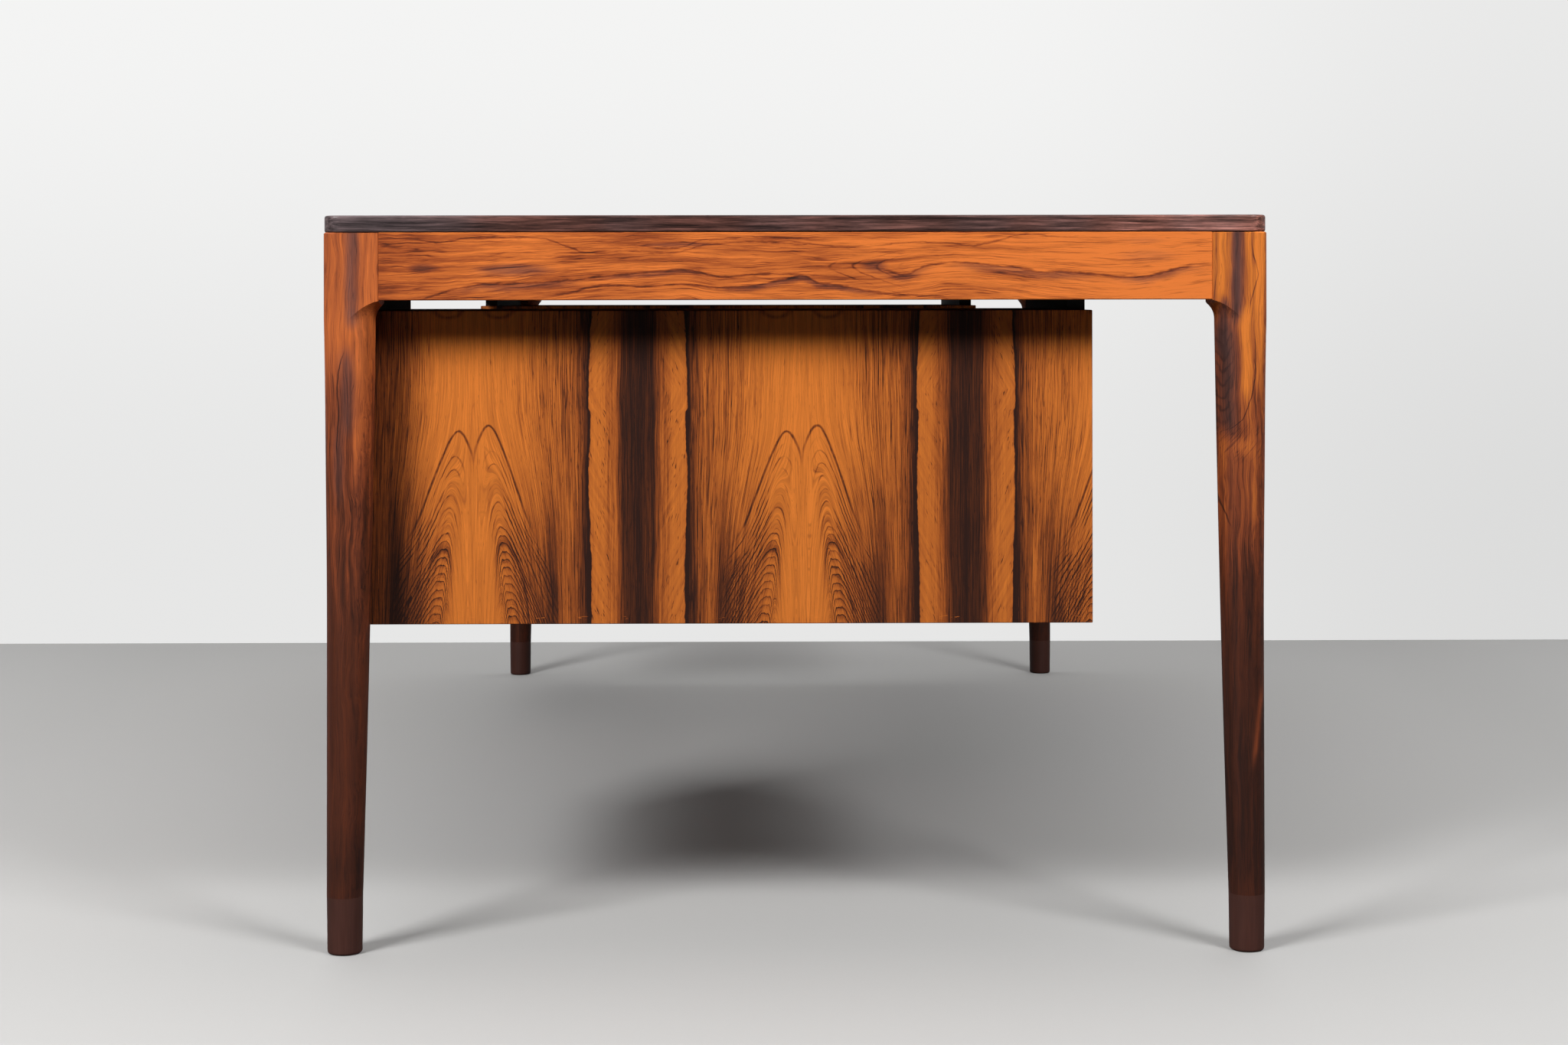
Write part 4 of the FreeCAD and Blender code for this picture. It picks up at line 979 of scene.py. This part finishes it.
class DESK_OT_stage(bpy.types.Operator):
    """Lays the floor, sets the wall, hangs the lamps and stands the camera at the desk's end"""

    bl_idname = "desk.stage"
    bl_label = "Floor, wall, lamps and camera"

    def execute(self, context):
        s = context.scene.desk_stage
        self.floor(s)
        self.wall(s)
        self.world(s)
        for name, place, aim, side, watts in LAMPS:
            self.lamp(name, Vector(place), Vector(aim), side, watts * s.lamps)
        self.camera(s)
        context.scene.view_settings.view_transform = "Standard"
        return {"FINISHED"}

    def put(self, name, data):
        made = bpy.data.objects.new(name, data)
        bpy.context.scene.collection.objects.link(made)
        return made

    def sheet(self, name, material, size, turn=0, place=(0, 0, 0)):
        """A flat square of the stage, turned about the Y axis."""
        bm = bmesh.new()
        bmesh.ops.create_grid(bm, x_segments=1, y_segments=1, size=size / 2,
                              matrix=Matrix.Translation(place) @ Matrix.Rotation(turn, 4, "Y"))
        mesh = bpy.data.meshes.new(name)
        bm.to_mesh(mesh)
        bm.free()
        mesh.materials.append(material)
        self.put(name, mesh)

    def floor(self, s):
        """A matt pale floor that fades into the background far from the desk. It throws little
        light back, so that the desk's underside stays dark."""
        f = Finish("pale_floor")
        fade_from, fade_to = 2100, 4800
        camera_ray = f.node("LightPath", out="Is Camera Ray")
        c = Vector(s.floor_colour)
        speckle = f.drift(f.x / 2, f.y / 2, 1)
        colour = f.mix(0.5 + speckle * 0.4, c * 0.97, c * 1.03)
        bounced = f.mix(camera_ray, f.scaled(colour, 0.15), colour)
        lit = f.node("BsdfPrincipled", None,
                     {"Base Color": bounced, "Roughness": 0.75, "Specular IOR Level": 0.1})
        glow = f.node("Emission", None, {"Color": (*s.wall_colour, 1)})
        far = (f.x * f.x + f.y * f.y).sqrt().rise(fade_from, fade_to)
        f.end_with(f.node("MixShader", None, {0: far * camera_ray, 1: lit, 2: glow}))
        self.sheet("floor", f.material, s.sheet_size)

    def wall(self, s):
        """A pale wall past the far end. It is there for the camera alone and from the front
        alone, so it throws no light or shadow and hides nothing from behind."""
        f = Finish("pale_wall")
        camera_ray = f.node("LightPath", out="Is Camera Ray")
        behind = f.node("NewGeometry", out="Backfacing")
        c = Vector(s.wall_colour)
        # painted light: paler higher up, and painted shade a little darker on the right; plain far
        # to both sides
        colour = f.mix(f.z.rise(200, 1250), c * 0.96, c * 1.09)
        painted_shade_on_right = f.y.rise(300, 1500) * f.y.fall(1700, 2600)
        colour = f.mix(painted_shade_on_right, colour, f.scaled(colour, 0.9))
        colour = f.mix(abs(f.y).rise(2600, 6500), colour, c)
        glow = f.node("Emission", None, {"Color": colour})
        clear = f.node("BsdfTransparent")
        f.end_with(f.node("MixShader", None, {0: camera_ray * (1 - behind), 1: clear, 2: glow}))
        self.sheet("wall", f.material, s.sheet_size, math.pi / 2, (-s.wall_distance, 0, 0))

    def world(self, s):
        """Soft light, weak from the camera's side, and a plain pale background."""
        world = bpy.data.worlds.new("soft_room")
        bpy.context.scene.world = world
        world.use_nodes = True
        w = Nodes(world.node_tree)
        ahead = w.parts(w.node("TexCoord", out="Generated"))[0]
        strength = ahead.fall(-0.25, 0.05).blend(s.fill, s.glow)
        room = w.node("Background", None, {"Color": (1, 1, 1, 1), "Strength": strength})
        seen = w.node("Background", None, {"Color": (*s.wall_colour, 1)})
        camera_ray = w.node("LightPath", out="Is Camera Ray")
        w.end_with(w.node("MixShader", None, {0: camera_ray, 1: room, 2: seen}), "OutputWorld")

    def lamp(self, name, place, aim, side, watts):
        light = bpy.data.lights.new(name, "AREA")
        light.size = side
        light.energy = watts
        holder = self.put(name, light)
        holder.location = place
        holder.rotation_euler = (aim - place).to_track_quat("-Z", "Y").to_euler()

    def camera(self, s):
        data = bpy.data.cameras.new("end_view")
        data.sensor_width = 36
        data.sensor_fit = "HORIZONTAL"
        data.lens = s.lens
        data.shift_y = s.shift
        data.clip_end = 100
        holder = self.put("end_view", data)
        # level, and along the desk but for the turn
        facing = Euler((math.pi / 2, s.roll, math.pi / 2 - s.turn))
        holder.matrix_world = Matrix.LocRotScale(Vector(s.eye), facing, None)
        bpy.context.scene.camera = holder


class DESK_PT_sidebar(bpy.types.Panel):
    """Lists the steps that dress the desk, and the values they use"""

    bl_idname = "DESK_PT_sidebar"
    bl_label = "Writing desk"
    bl_space_type = "VIEW_3D"
    bl_region_type = "UI"
    bl_category = "Desk"

    def draw(self, context):
        column = self.layout.column(align=True)
        for step in STEPS:
            column.operator(step.bl_idname)
        s = context.scene
        for group in (s.desk_colours, s.desk_figure, s.desk_stage):
            box = self.layout.box()
            for key in group.bl_rna.properties.keys():
                if key not in ("rna_type", "name"):
                    box.prop(group, key)


STEPS = (DESK_OT_top, DESK_OT_legs, DESK_OT_rails, DESK_OT_pedestals, DESK_OT_drawers,
         DESK_OT_hidden_frame, DESK_OT_hardware, DESK_OT_stage)
GROUPS = (DeskColours, DeskFigure, DeskStage)


def register():
    for cls in GROUPS + STEPS + (DESK_PT_sidebar,):
        bpy.utils.register_class(cls)
    bpy.types.Scene.desk_colours = bpy.props.PointerProperty(type=DeskColours)
    bpy.types.Scene.desk_figure = bpy.props.PointerProperty(type=DeskFigure)
    bpy.types.Scene.desk_stage = bpy.props.PointerProperty(type=DeskStage)


def unregister():
    for name in ("desk_stage", "desk_figure", "desk_colours"):
        delattr(bpy.types.Scene, name)
    for cls in reversed(GROUPS + STEPS + (DESK_PT_sidebar,)):
        bpy.utils.unregister_class(cls)


def main():
    register()
    for step in STEPS:
        area, name = step.bl_idname.split(".")
        getattr(getattr(bpy.ops, area), name)()


if __name__ == "__main__":
    main()
